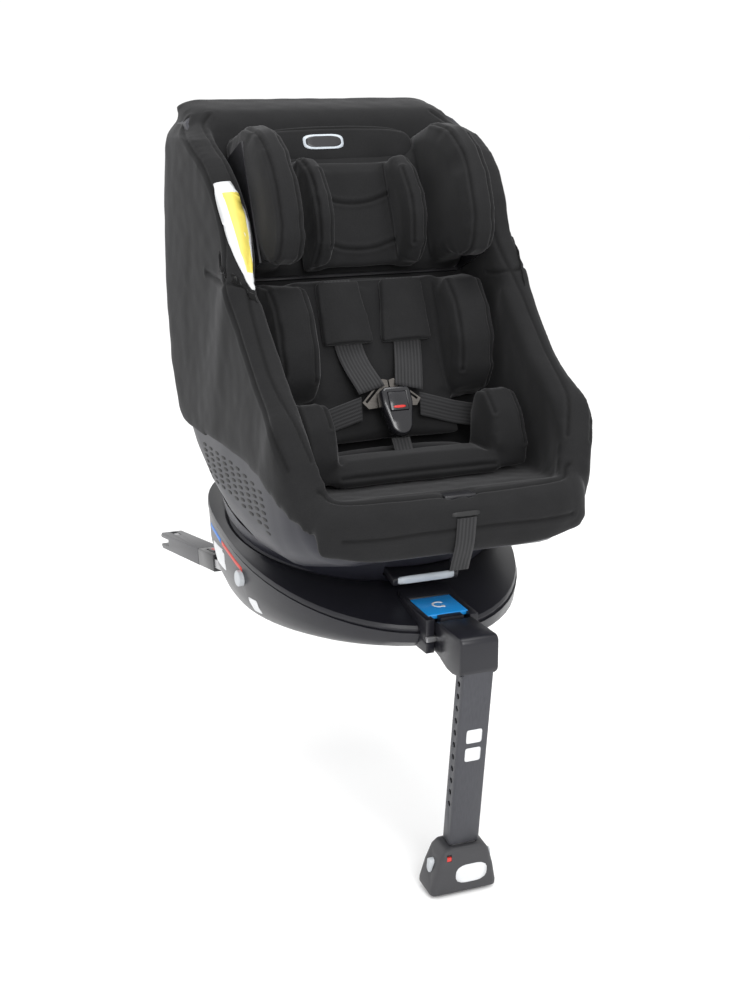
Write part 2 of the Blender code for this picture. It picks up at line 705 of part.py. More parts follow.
LOCK_HOLE = 2                # the hole that the leg is locked in, counted from the top
LOCK_PIN_RADIUS = 0.0028
HOLE_RADIUS = 0.0034


def hole_height(index):
    """Height along the leg of one of the adjustment holes."""
    return -0.016 - LEG_HOLE_PITCH * index


def make_leg_tubes():
    """The holed outer tube, the telescoping inner tube and the two spring pins that lock them."""
    outer = square_tube("leg_outer_tube", LEG_TUBE, TUBE_WALL, -LEG_LENGTH, LEG_SOCKET, "leg_steel", LEG)
    for index in range(LEG_HOLES):
        hole = rod_x(f"leg_hole_{index}", (0.0, hole_height(index)), HOLE_RADIUS, -0.03, 0.03, None, LEG, steps=10)
        cut(outer, hole)
    inner = square_tube("leg_inner_tube", LEG_INNER, TUBE_WALL, -FOOT_TOP - 0.012, -0.030, "steel", LEG)
    pin_height = hole_height(LOCK_HOLE)
    cut(inner, rod_x("inner_hole", (0.0, pin_height), HOLE_RADIUS, -0.03, 0.03, None, LEG, steps=10))
    for side, tag in ((-1, "right"), (1, "left")):
        x_low, x_high = sorted((side * 0.0090, side * 0.0180))
        rod_x(f"leg_lock_pin_{tag}", (0.0, pin_height), LOCK_PIN_RADIUS, x_low, x_high, "steel", LEG, steps=10)


FOOT_LEVELS = (
    (0.0, 0.0225, 0.0140), (0.0020, 0.0270, 0.0170), (0.0090, 0.0320, 0.0193),
    (0.0300, 0.0385, 0.0205), (0.0550, 0.0440, 0.0210), (0.0610, 0.0440, 0.0210),
)
FOOT_BUTTON = (0.0, -0.266)
SOLE_TRAVEL = 0.003


def make_foot():
    """The foot: its housing, sprung sole, floor-contact indicator and the two height buttons."""
    loops = []
    for depth, half_x, half_y in FOOT_LEVELS:
        outline = rounded_rectangle(half_x, half_y, 0.006, 4)
        loops.append([LEG @ Vector((x, y, -FOOT_TOP - depth)) for x, y in outline])
    housing = loft("foot_housing", loops, "foot_grey", smooth=40)
    half_x, half_y = LEG_INNER[0] / 2 + GAP, LEG_INNER[1] / 2 + GAP
    cut(housing, box("foot_socket", (-half_x, -half_y, -FOOT_TOP - 0.0125), (half_x, half_y, 0.0), None, LEG))
    bottom = -FOOT_TOP - FOOT_LEVELS[-1][0]
    cut(housing, box("sole_recess", (-0.0405, -0.0172, bottom - 0.01), (0.0405, 0.0172, bottom + 0.0075), None, LEG))
    sole = (0.0398, 0.0165)
    box("foot_sole", (-sole[0], -sole[1], bottom - SOLE_TRAVEL - 0.001), (sole[0], sole[1], bottom + 0.0040),
        "rubber_black", LEG, bevel=0.0015)
    window = box("window_pocket", (-0.0262, -0.03, -FOOT_TOP - 0.0150), (-0.0198, -0.0165, -FOOT_TOP - 0.0058),
                 None, LEG)
    cut(housing, window)
    box("foot_indicator", (-0.0259, -0.0192, -FOOT_TOP - 0.0146), (-0.0201, -0.0168, -FOOT_TOP - 0.0092),
        "indicator_red", LEG)
    for side, tag in ((-1, "right"), (1, "left")):
        for name, grow, x_in, x_out, colour in ((f"foot_button_pocket_{tag}", GAP, 0.0250, 0.06, None),
                                                (f"foot_button_{tag}", 0.0, 0.0300, 0.0412, "button_grey")):
            outline = [(y + FOOT_BUTTON[0], z + FOOT_BUTTON[1])
                       for y, z in rounded_rectangle(0.0055 + grow, 0.0095 + grow, 0.0054 + grow, 5)]
            x_low, x_high = sorted((side * x_in, side * x_out))
            piece = extrude_x(name, outline, x_low, x_high, colour, LEG, bevel=0.0012 if colour else 0.0)
            if colour is None:
                cut(housing, piece)


# ---------------------------------------------------------------- ISOFIX connectors
CASE_START = 0.028
CASE_JOINT = 0.104
ARM_END = 0.094
JAW_END = 0.312
NOTCH_START = 0.270
NOTCH_HALF = 0.0046
HOOK_PIVOT = (0.2820, 0.0082)
HOOK_PIN_RADIUS = 0.0020


def make_isofix(side, tag):
    """One connector: steel arm, latch housing, forked jaw, hook and release slider."""
    frame = arm_frame(side)
    half_x, half_z = ARM_HALF
    box(f"isofix_arm_{tag}", (-half_x, -0.170, -half_z), (half_x, ARM_END, half_z), "steel", frame)
    case_x, case_z = CASE_HALF
    case = box(f"isofix_latch_housing_{tag}", (-case_x, CASE_START, -case_z),
               (case_x, CASE_JOINT, case_z), "base_black", frame, bevel=0.002)
    cut(case, box(f"arm_pocket_{tag}", (-half_x - GAP, 0.0, -half_z - GAP),
                  (half_x + GAP, ARM_END + GAP, half_z + GAP), None, frame))
    cut(case, box(f"slider_pocket_{tag}", (-0.0085, 0.050, case_z - 0.003), (0.0085, 0.088, 0.03), None, frame))
    box(f"isofix_release_{tag}", (-0.0080, 0.0505, case_z - 0.0027), (0.0080, 0.0780, case_z + 0.0022),
        "grey_plastic", frame, bevel=0.0008)
    jaw_outline = [
        (CASE_JOINT + GAP, -case_z), (JAW_END - 0.006, -case_z), (JAW_END, -case_z + 0.004),
        (JAW_END, -NOTCH_HALF - 0.0015), (JAW_END - 0.004, -NOTCH_HALF), (NOTCH_START, -NOTCH_HALF),
        (NOTCH_START, NOTCH_HALF), (JAW_END - 0.004, NOTCH_HALF), (JAW_END, NOTCH_HALF + 0.0015),
        (JAW_END, case_z - 0.004), (JAW_END - 0.006, case_z), (CASE_JOINT + GAP, case_z),
    ]
    jaw = extrude_x(f"isofix_jaw_{tag}", jaw_outline, -case_x, case_x, "grey_plastic", frame, bevel=0.0015)
    cut(jaw, box(f"hook_slot_{tag}", (-0.0042, 0.2630, -0.0095), (0.0042, 0.3000, 0.03), None, frame))
    cut(jaw, rod_x(f"hook_bore_{tag}", HOOK_PIVOT, HOOK_PIN_RADIUS + GAP, -0.0122, 0.0122, None, frame, steps=12))
    y, z = HOOK_PIVOT
    finger = arc(HOOK_PIVOT, 0.0040, math.radians(-90), math.radians(90), 7)
    finger += [(y - 0.0150, z + 0.0030), (y - 0.0165, z - 0.0005), (y - 0.0150, z - 0.0025)]
    hook = extrude_x(f"isofix_hook_{tag}", finger, -0.0035, 0.0035, "steel", frame)
    cut(hook, rod_x(f"hook_pin_{tag}", HOOK_PIVOT, HOOK_PIN_RADIUS, -0.0118, 0.0118, None, frame, steps=12), "UNION")
    turn = Matrix.Translation((0.0, ADJUST_BUTTON[0], ADJUST_BUTTON[1])) @ Matrix.Rotation(side * math.pi / 2, 4, "Y")
    profile = [(ADJUST_RADIUS, 0.178), (ADJUST_RADIUS, 0.1900), (0.0090, 0.1912)]
    turned(f"isofix_adjust_button_{tag}", profile, "button_grey", turn, steps=20)


def make_recline_handle():
    """The pull handle at the front of the turntable that frees the seat's recline."""
    outline = [(-0.2140, 0.0132), (-0.1650, 0.0132), (-0.1650, 0.0248), (-0.2100, 0.0248), (-0.2140, 0.0215)]
    extrude_x("recline_handle", outline, -0.0445, 0.0445, "base_black", TURNTABLE, bevel=0.0015)


# ---------------------------------------------------------------- headrest, inserts and harness
def back_plate(name, outline, x_low, x_high, material_name, bevel=0.0):
    """A plate in the back's frame, from (forward, up) points."""
    flipped = [(-forward, up) for forward, up in outline]
    return extrude_x(name, flipped, x_low, x_high, material_name, BACK, bevel)


HEADREST_LOW = 0.002
HEADREST_HIGH = 0.158
WING_OUTLINE = (
    (-0.0370, 0.0050), (0.0300, 0.0010), (0.0620, -0.0090), (0.0900, -0.0060), (0.1090, 0.0140), (0.1180, 0.0450),
    (0.1170, 0.0900), (0.1020, 0.1300), (0.0760, 0.1620), (0.0350, 0.1840), (-0.0370, 0.1900),
)
HEAD_BOLSTER = (
    (-0.0185, 0.0030), (0.0200, 0.0000), (0.0480, 0.0180), (0.0610, 0.0500), (0.0620, 0.0800),
    (0.0500, 0.1180), (0.0250, 0.1440), (-0.0185, 0.1500),
)


def make_headrest():
    """The headrest: moulded back, padded cover with its wings, the removable head insert and its lever."""
    outline = [(-0.1545, 0.0420), (0.1545, 0.0420), (0.1545, -0.0450), (0.1520, -0.0450), (0.1520, 0.0383),
               (-0.1520, 0.0383), (-0.1520, -0.0450), (-0.1545, -0.0450)]
    extrude_z("headrest_shell", outline, HEADREST_LOW, HEADREST_HIGH, "base_black", BACK)
    pad = back_plate("headrest_cover", ((-0.0380, 0.0030), (-0.0190, 0.0030), (-0.0190, 0.1600),
                                        (-0.0380, 0.1850)), -0.1505, 0.1505, "fabric_black")
    for side in (-1, 1):
        x_low, x_high = sorted((side * 0.1100, side * 0.1485))
        cut(pad, back_plate(f"wing_{side}", WING_OUTLINE, x_low, x_high, None), "UNION")
    centre = back_plate("head_insert", ((-0.0185, 0.0060), (0.0, 0.0060), (0.0, 0.1440), (-0.0185, 0.1500)),
                        -0.0560, 0.0560, "fabric_black")
    for side in (-1, 1):
        x_low, x_high = sorted((side * 0.0520, side * 0.0780))
        cut(centre, back_plate(f"bolster_{side}", HEAD_BOLSTER, x_low, x_high, None), "UNION")
    back_plate("headrest_lever", ((-0.0415, 0.1590), (-0.0385, 0.1590), (-0.0385, 0.1830), (-0.0415, 0.1830)),
               -0.0350, 0.0350, "grey_plastic")


BODY_BOLSTER = (
    (-0.0425, -0.1720), (0.0120, -0.1720), (0.0360, -0.1500), (0.0500, -0.1150),
    (0.0500, -0.0650), (0.0340, -0.0270), (-0.0050, -0.0100), (-0.0425, -0.0100),
)
HIP_LOBE = (
    (-0.1900, 0.2030), (-0.1960, 0.2360), (-0.1790, 0.2760), (-0.1520, 0.2980), (-0.1270, 0.2940),
    (-0.1120, 0.2600), (-0.1160, 0.2030),
)


def make_inserts():
    """The padded insert for a small child: back with side bolsters, and seat with hip lobes."""
    back = back_plate("body_insert", ((-0.0440, -0.1880), (-0.0200, -0.2230), (-0.0010, -0.2330),
                                        (-0.0010, -0.0060), (-0.0440, -0.0060)),
                      -0.1000, 0.1000, "fabric_black")
    for side in (-1, 1):
        x_low, x_high = sorted((side * 0.0950, side * 0.1500))
        cut(back, back_plate(f"body_bolster_{side}", BODY_BOLSTER, x_low, x_high, None), "UNION")
    seat = [(-0.1960, 0.1990), (-0.2000, 0.2120), (-0.1920, 0.2260), (-0.1250, 0.2220), (-0.1190, 0.1930)]
    cushion = extrude_x("seat_insert", seat, -0.1080, 0.1080, "fabric_black")
    for side in (-1, 1):
        x_low, x_high = sorted((side * 0.1040, side * 0.1510))
        cut(cushion, extrude_x(f"hip_lobe_{side}", HIP_LOBE, x_low, x_high, None), "UNION")


def ribbon_loop(centre, across, out, width, thickness):
    """A rectangle across a strap's route."""
    half_a = across.normalized() * width / 2
    half_o = out.normalized() * thickness / 2
    return [centre - half_a - half_o, centre + half_a - half_o, centre + half_a + half_o, centre - half_a + half_o]


def ribbon(name, route, width, thickness, material_name="webbing_grey"):
    """A flat strap through (centre, across, out) stations."""
    return loft(name, [ribbon_loop(*place, width, thickness) for place in route], material_name)


def sleeve(name, route, outer, inner, material_name):
    """A padded sleeve around a strap, through the strap's own stations."""
    outside = [ribbon_loop(*place, *outer) for place in route]
    inside = [ribbon_loop(*place, *inner) for place in route]
    return loft(name, outside + inside[::-1], material_name, closed=True)


BUCKLE = Matrix.Translation((0.0, -0.1210, 0.2705)) @ Matrix.Rotation(math.radians(-28.9), 4, "X")
BACK_FORWARD = Vector((0.0, -math.cos(BACK_LEAN), math.sin(BACK_LEAN)))


def back_point(x, forward, up):
    """A point in the back's frame."""
    return BACK @ Vector((x, -forward, up))


def make_shoulder_harness(side, tag):
    """One side's shoulder strap, its pad, the lap strap and the buckle tongue."""
    across = Vector((side, 0.0, 0.0))
    start = back_point(side * 0.0440, 0.0080, -0.0160)
    middle = back_point(side * 0.0400, 0.0085, -0.1060)
    end = BUCKLE @ Vector((side * 0.0255, 0.0040, 0.0335))
    slant = (end - middle).normalized()
    low_out = BUCKLE.to_3x3() @ Vector((0.0, -1.0, 0.0))
    low_across = low_out.cross(slant) * side
    low_across = low_across if low_across.x * side > 0 else -low_across
    route = [(start, across, BACK_FORWARD), (middle, across, BACK_FORWARD), (end, low_across, low_out)]
    ribbon(f"shoulder_strap_{tag}", route, SHOULDER_WEB, WEBBING)
    pad_route = [(start.lerp(middle, share), across, BACK_FORWARD) for share in (0.03, 0.93)]
    sleeve(f"shoulder_pad_{tag}", pad_route, (0.0560, 0.0130), (SHOULDER_WEB + 0.001, WEBBING + 0.001), "fabric_black")
    plate = [(side * 0.0010, 0.0120), (side * 0.0010, 0.0460), (side * 0.0080, 0.0480),
             (side * 0.0400, 0.0190), (side * 0.0330, 0.0100)]
    tongue = extrude_y(f"buckle_tongue_{tag}", plate, 0.0074, 0.0104, "tongue_bronze", BUCKLE)
    slot_turn = Matrix.Rotation(side * math.atan2(29.0, 32.0), 4, "Y")
    slot_frame = BUCKLE @ Matrix.Translation((side * 0.0225, 0.0, 0.0300)) @ slot_turn
    cut(tongue, box(f"tongue_slot_{tag}", (-0.0170, 0.0, -0.0016), (0.0170, 0.02, 0.0016), None, slot_frame))
    hip = Vector((side * 0.0900, -0.0990, 0.2600))
    lap_start = BUCKLE @ Vector((side * 0.0400, 0.0130, 0.0130))
    lap_up = Vector((0.0, 0.15, 1.0)).normalized()
    lap_out = (hip - lap_start).cross(lap_up) * side
    ribbon(f"lap_strap_{tag}", [(lap_start, lap_up, lap_out), (hip, lap_up, lap_out)], 0.030, WEBBING)


def make_buckle():
    """The five-point buckle, its push button and the crotch strap that holds it."""
    outline = arc((0.0, -0.0160), 0.0150, math.radians(180), math.radians(360), 9)
    outline += [(0.0205, 0.0100), (0.0200, 0.0270), (0.0150, 0.0320), (-0.0150, 0.0320), (-0.0200, 0.0270),
                (-0.0205, 0.0100)]
    housing = extrude_y("buckle_housing", outline, -0.0120, 0.0070, "base_black", BUCKLE, bevel=0.004)
    cut(housing, box("button_well", (-0.0128, -0.03, -0.0008), (0.0128, -0.0050, 0.0248), None, BUCKLE))
    box("buckle_button", (-0.0124, -0.0132, -0.0004), (0.0124, -0.0092, 0.0244), "base_black", BUCKLE, bevel=0.001)
    top = BUCKLE @ Vector((0.0, 0.0030, -0.0318))
    foot = Vector((0.0, -0.1450, 0.2262))
    across = Vector((1.0, 0.0, 0.0))
    out = across.cross(top - foot)
    ribbon("crotch_strap", [(top, across, out), (foot, across, out)], ADJUSTER_WEB, WEBBING)


def make_harness_adjuster():
    """The tightening strap, its release button, and the yoke and webbing behind the seat."""
    across = Vector((1.0, 0.0, 0.0))
    route = []
    for (y, z), (oy, oz) in (((-0.3250, 0.1880), (-1.0, 0.05)), ((-0.3200, 0.1560), (-1.0, -0.15)),
                             ((-0.3095, 0.1300), (-1.0, -0.30)), ((-0.3050, 0.1190), (-1.0, -0.40))):
        route.append((Vector((0.0, y, z)), across, Vector((0.0, oy, oz))))
    ribbon("adjuster_strap", route, ADJUSTER_WEB, WEBBING)
    half_x, half_y = RELEASE_HALF
    y = RELEASE_CENTRE[1]
    box("harness_release_button", (-half_x, y - half_y, 0.2052), (half_x, y + half_y, 0.2110), "base_black",
        bevel=0.001)
    extrude_x("harness_yoke", ((0.0900, 0.2600), (0.0930, 0.2600), (0.1080, 0.3050), (0.1050, 0.3050)),
              -0.0300, 0.0300, "steel")
    route = []
    for y, z, turn in ((0.0890, 0.2560, 70), (0.0600, 0.1900, 60), (0.0150, 0.1560, 20),
                       (-0.0800, 0.1480, 0), (-0.2550, 0.1600, -3)):
        out = Vector((0.0, math.sin(math.radians(turn)), -math.cos(math.radians(turn))))
        route.append((Vector((0.0, y, z)), across, out))
    ribbon("adjuster_webbing", route, ADJUSTER_WEB, WEBBING)


# ---------------------------------------------------------------- run
SIDES = ((-1, "right"), (1, "left"))


def clear_scene():
    """Start from an empty scene."""
    for old in list(bpy.data.objects):
        bpy.data.objects.remove(old, do_unlink=True)


def make_base():
    """Everything that stays still on the vehicle seat."""
    make_base_lower_shell()
    make_base_upper_shell()
    make_leg_bracket()
    make_rotation_button()
    make_turntable_support()
    make_leg_hinge_pin()
    for side, tag in SIDES:
        make_isofix(side, tag)


def make_leg():
    """The folding, telescoping support leg."""
    make_leg_head()
    make_leg_tubes()
    make_foot()


def make_seat():
    """The turntable and the seat that it carries."""
    make_turntable_carrier()
    make_recline_handle()
    make_seat_shell()
    make_seat_cover()
    make_inner_shell()
    make_cover_panels()
    make_headrest()
    make_inserts()
    for side, tag in SIDES:
        make_shoulder_harness(side, tag)
    make_buckle()
    make_harness_adjuster()


def put_origins():
    """Put each moving piece's origin on its joint's axis."""
    for name, point in {
        "turntable_carrier": RING_CENTRE,
        "recline_handle": TURNTABLE @ Vector((0.0, -0.190, 0.019)),
        "rotation_button": Vector((0.0, (BUTTON_REAR + BUTTON_FRONT) / 2, NOSE_TOP)),
        "rotation_lock_pin": TURNTABLE @ Vector((0.0, -0.150, -0.020)),
        "harness_release_button": Vector((*RELEASE_CENTRE, 0.211)),
        "buckle_button": BUCKLE @ Vector((0.0, -0.011, 0.012)),
    }.items():
        move_origin(name, point)
    for name in ("seat_shell", "seat_cover", "inner_shell", "cover_front_panel", "cover_top_panel", "body_insert",
                 "seat_insert", "buckle_housing", "crotch_strap", "adjuster_strap", "adjuster_webbing",
                 "harness_yoke"):
        move_origin(name, RECLINE_AXIS)
    for name in ("headrest_shell", "headrest_cover", "head_insert", "headrest_lever"):
        move_origin(name, BACK_ORIGIN)
    for name in ("leg_head", "leg_outer_tube"):
        move_origin(name, LEG_PIN)
    for name in ("leg_inner_tube", "foot_housing", "foot_sole", "foot_indicator"):
        move_origin(name, LEG_TOP)
    for side, tag in SIDES:
        for name in ("shoulder_strap", "shoulder_pad", "lap_strap", "buckle_tongue"):
            move_origin(f"{name}_{tag}", RECLINE_AXIS)
        for name in ("isofix_arm", "isofix_latch_housing", "isofix_jaw"):
            move_origin(f"{name}_{tag}", arm_frame(side).translation)
        move_origin(f"isofix_hook_{tag}", arm_frame(side) @ Vector((0.0, *HOOK_PIVOT)))
        move_origin(f"isofix_release_{tag}", arm_frame(side) @ Vector((0.0, 0.064, CASE_HALF[1])))
        move_origin(f"isofix_adjust_button_{tag}", Vector((side * 0.184, *ADJUST_BUTTON)))
        move_origin(f"leg_lock_pin_{tag}", LEG @ Vector((side * 0.014, 0.0, hole_height(LOCK_HOLE))))
        move_origin(f"foot_button_{tag}", LEG @ Vector((side * 0.036, *FOOT_BUTTON)))


def move_origin(name, point):
    """Move one object's origin without moving its mesh."""
    piece = bpy.data.objects[name]
    piece.data.transform(Matrix.Translation(-point))
    piece.location = point


clear_scene()
make_base()
make_leg()
make_seat()
put_origins()
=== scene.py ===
import json
import math

import bmesh
import bpy
import numpy as np
from mathutils import Matrix, Vector, noise
from mathutils.bvhtree import BVHTree
from mathutils.kdtree import KDTree

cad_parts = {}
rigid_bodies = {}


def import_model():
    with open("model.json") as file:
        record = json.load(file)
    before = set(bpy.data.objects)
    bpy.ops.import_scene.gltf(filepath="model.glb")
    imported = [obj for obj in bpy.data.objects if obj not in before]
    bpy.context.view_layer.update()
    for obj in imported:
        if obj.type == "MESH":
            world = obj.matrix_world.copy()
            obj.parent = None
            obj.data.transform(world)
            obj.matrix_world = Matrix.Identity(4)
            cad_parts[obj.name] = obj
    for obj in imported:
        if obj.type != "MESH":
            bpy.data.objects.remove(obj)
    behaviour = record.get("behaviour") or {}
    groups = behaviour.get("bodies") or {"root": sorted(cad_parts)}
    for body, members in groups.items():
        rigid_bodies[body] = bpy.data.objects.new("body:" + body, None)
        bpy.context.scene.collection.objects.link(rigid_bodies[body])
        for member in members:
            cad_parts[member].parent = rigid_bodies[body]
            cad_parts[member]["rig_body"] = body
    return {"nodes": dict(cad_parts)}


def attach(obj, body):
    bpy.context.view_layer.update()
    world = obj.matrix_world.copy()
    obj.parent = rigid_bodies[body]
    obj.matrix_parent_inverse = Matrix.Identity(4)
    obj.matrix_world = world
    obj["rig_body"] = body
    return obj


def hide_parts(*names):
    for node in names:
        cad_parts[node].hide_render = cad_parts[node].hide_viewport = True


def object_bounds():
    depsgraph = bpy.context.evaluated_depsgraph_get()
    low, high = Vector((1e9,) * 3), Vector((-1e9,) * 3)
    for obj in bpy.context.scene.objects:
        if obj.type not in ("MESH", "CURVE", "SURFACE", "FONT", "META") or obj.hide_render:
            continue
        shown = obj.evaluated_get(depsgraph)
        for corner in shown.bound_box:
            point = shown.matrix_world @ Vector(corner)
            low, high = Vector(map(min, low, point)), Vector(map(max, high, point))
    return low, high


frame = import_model()
CAD_BOX = [list(corner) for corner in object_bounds()]
NODES = frame["nodes"]
SIDES = ((-1, "right"), (1, "left"))

# ---------------------------------------------------------------- frames, as in the CAD
TILT = math.radians(11.6)
BACK_LEAN = math.radians(23.5)
LEG_LEAN = math.radians(7.7)
TURNTABLE = Matrix.Translation((0.0, 0.0, 0.105)) @ Matrix.Rotation(TILT, 4, "X")
BACK = Matrix.Translation((0.0, -0.012, 0.438)) @ Matrix.Rotation(-BACK_LEAN, 4, "X")
LEG = Matrix.Translation((0.0, -0.352, 0.010)) @ Matrix.Rotation(LEG_LEAN, 4, "X")
BUCKLE = Matrix.Translation((0.0, -0.1210, 0.2705)) @ Matrix.Rotation(math.radians(-28.9), 4, "X")
BACK_FORWARD = Vector((0.0, -math.cos(BACK_LEAN), math.sin(BACK_LEAN)))
RECLINE_AXIS = TURNTABLE @ Vector((0.0, -0.025, 0.515))
RECLINE_RADIUS = 0.500
SHELL_HALF_WIDTH = 0.198


def back_point(x, forward, up):
    """A point in the back's frame."""
    return BACK @ Vector((x, -forward, up))


# ---------------------------------------------------------------- camera, light and floor
LENS, SENSOR_WIDTH = 57.6, 36.0
CAMERA_PLACE = (-0.7897, -1.92, 0.71)
CAMERA_DIP, CAMERA_TURN = 15.73, -22.9      # degrees
LIGHT_TARGET = (0.0, 0.0, 0.3)
WORLD_STRENGTH = 1.04
FLOOR_SIZE, FLOOR_GAP = 30, 0.002


def aim(thing, target):
    """Turn a light towards a point."""
    thing.rotation_euler = (Vector(target) - thing.location).to_track_quat("-Z", "Y").to_euler()


def make_camera():
    data = bpy.data.cameras.new("camera")
    data.lens = LENS
    data.sensor_width = SENSOR_WIDTH
    camera = bpy.data.objects.new("camera", data)
    camera.location = CAMERA_PLACE
    camera.rotation_euler = (math.radians(90 - CAMERA_DIP), 0.0, math.radians(CAMERA_TURN))
    bpy.context.scene.collection.objects.link(camera)
    bpy.context.scene.camera = camera


def make_light(name, place, size, power):
    data = bpy.data.lights.new(name, "AREA")
    data.shape = "RECTANGLE"
    data.size, data.size_y = size
    data.energy = power
    lamp = bpy.data.objects.new(name, data)
    lamp.location = place
    bpy.context.scene.collection.objects.link(lamp)
    aim(lamp, LIGHT_TARGET)


def make_stage():
    world = bpy.data.worlds.new("studio")
    bpy.context.scene.world = world
    world.use_nodes = True
    background = world.node_tree.nodes["Background"]
    background.inputs["Color"].default_value = (1.0, 1.0, 1.0, 1.0)
    background.inputs["Strength"].default_value = WORLD_STRENGTH
    bpy.context.scene.view_settings.view_transform = "Standard"
    low = CAD_BOX[0][2] - FLOOR_GAP
    bpy.ops.mesh.primitive_plane_add(size=FLOOR_SIZE, location=(0, 0, low))
    floor = bpy.context.object
    floor.name = "floor"
    pale = bpy.data.materials.new("pale_floor")
    pale.use_nodes = True
    shader = pale.node_tree.nodes["Principled BSDF"]
    shader.inputs["Base Color"].default_value = (0.98, 0.98, 0.98, 1.0)
    shader.inputs["Roughness"].default_value = 0.9
    floor.data.materials.append(pale)
    make_light("key", (-0.4, -2.7, 1.7), (1.4, 1.4), 56)
    make_light("fill", (-2.2, -1.6, 1.3), (1.2, 2.0), 4)
    make_light("top", (0.2, -0.2, 2.6), (1.8, 1.4), 32)
    make_light("rim", (-2.0, 1.6, 1.4), (1.0, 1.6), 12)


# ---------------------------------------------------------------- materials
class Surface:
    """A Principled material with a few helpers for its nodes."""

    def __init__(self, name, colour, roughness, **constants):
        self.material = bpy.data.materials.new(name)
        self.material.use_nodes = True
        self.tree = self.material.node_tree
        self.shader = self.tree.nodes["Principled BSDF"]
        self.set("Base Color", (*colour, 1.0))
        self.set("Roughness", roughness)
        for socket, value in constants.items():
            self.set(socket.replace("_", " "), value)

    def set(self, socket, value):
        self.shader.inputs[socket].default_value = value

    def add(self, kind, inputs=(), **settings):
        """A node with its settings, constant inputs and links."""
        made = self.tree.nodes.new(kind)
        for key, value in settings.items():
            setattr(made, key, value)
        for socket, value in dict(inputs).items():
            if isinstance(value, bpy.types.NodeSocket):
                self.tree.links.new(value, made.inputs[socket])
            else:
                made.inputs[socket].default_value = value
        return made

    def link(self, output, socket):
        self.tree.links.new(output, self.shader.inputs[socket])

    def place(self):
        """Position on the object, in metres."""
        return self.add("ShaderNodeTexCoord").outputs["Object"]

    def noise(self, scale, detail=2.0, vector=None):
        return self.add("ShaderNodeTexNoise", {"Vector": vector or self.place(), "Scale": scale,
                                               "Detail": detail}).outputs["Fac"]

    def ranged(self, value, low, high, start=0.0, end=1.0):
        """Map a value from low..high to start..end."""
        return self.add("ShaderNodeMapRange", {"Value": value, "From Min": low, "From Max": high,
                                               "To Min": start, "To Max": end}).outputs["Result"]

    def maths(self, operation, a, b):
        return self.add("ShaderNodeMath", {0: a, 1: b}, operation=operation).outputs[0]

    def mix(self, share, a, b):
        made = self.add("ShaderNodeMix", {0: share}, data_type="RGBA")
        for index, value in ((6, a), (7, b)):
            if isinstance(value, bpy.types.NodeSocket):
                self.tree.links.new(value, made.inputs[index])
            else:
                made.inputs[index].default_value = (*value, 1.0)
        return made.outputs[2]

    def bump(self, height, strength, distance):
        self.link(self.add("ShaderNodeBump", {"Height": height, "Strength": strength,
                                              "Distance": distance}).outputs["Normal"], "Normal")


def shade(colour, factor):
    return tuple(min(c * factor, 1.0) for c in colour)


def fabric(name, colour):
    """Soft knit over foam: fine stitches, fuzz, and painted shade darkening the sunk seam grooves."""
    s = Surface(name, colour, 0.9, Sheen_Weight=0.13, Sheen_Roughness=0.35)
    s.set("Specular IOR Level", 0.16)
    s.set("Sheen Tint", (0.80, 0.80, 0.82, 1.0))
    knit = s.add("ShaderNodeTexVoronoi", {"Vector": s.place(), "Scale": 780.0}).outputs["Distance"]
    fuzz = s.noise(1900.0, 3.0)
    soft = s.noise(22.0, 4.0)
    tone = s.mix(s.ranged(soft, 0.3, 0.7), shade(colour, 0.86), shade(colour, 1.16))
    tone = s.mix(s.ranged(knit, 0.0, 0.7, 0.0, 0.5), tone, shade(colour, 0.62))
    # Painted shade: the colour darkens strongly towards the middle of each sunk seam groove, where shade
    # falls.
    seam = s.add("ShaderNodeAttribute", attribute_name="seam").outputs["Fac"]
    s.link(s.mix(s.ranged(seam, 0.15, 0.95, 0.0, 0.72), tone, shade(colour, 0.22)), "Base Color")
    s.link(s.ranged(fuzz, 0.3, 0.7, 0.82, 0.97), "Roughness")
    height = s.maths("ADD", s.maths("MULTIPLY", knit, -0.7), s.maths("MULTIPLY", fuzz, 0.5))
    s.bump(height, 0.35, 0.0004)
    return s.material


WEAVE_PITCH, WEAVE_ZIGZAG, YARN_WIDTH = 0.0021, 0.0035, 0.0046


def webbing(name, colour):
    """Woven strap: u runs across it and v along it, both in metres."""
    s = Surface(name, colour, 0.8, Sheen_Weight=0.08)
    s.set("Specular IOR Level", 0.24)
    uv = s.add("ShaderNodeUVMap", uv_map="UVMap").outputs["UV"]
    split = s.add("ShaderNodeSeparateXYZ", {0: uv})
    across, along = split.outputs[0], split.outputs[1]
    diagonal = s.maths("ADD", along, s.maths("PINGPONG", across, WEAVE_ZIGZAG))
    rib = s.maths("SINE", s.maths("MULTIPLY", diagonal, 2 * math.pi / WEAVE_PITCH), 0.0)
    yarn = s.maths("SINE", s.maths("MULTIPLY", across, 2 * math.pi / YARN_WIDTH), 0.0)
    weave = s.maths("ADD", s.maths("MULTIPLY", rib, 0.4), s.maths("MULTIPLY", yarn, 0.6))
    tone = s.mix(s.ranged(weave, -0.9, 0.9), shade(colour, 0.50), shade(colour, 1.55))
    worn = s.ranged(s.noise(35.0, 3.0), 0.35, 0.75)
    s.link(s.mix(s.maths("MULTIPLY", worn, 0.35), tone, shade(colour, 1.5)), "Base Color")
    s.link(s.ranged(weave, -1.0, 1.0, 0.9, 0.68), "Roughness")
    s.bump(weave, 0.5, 0.0003)
    return s.material


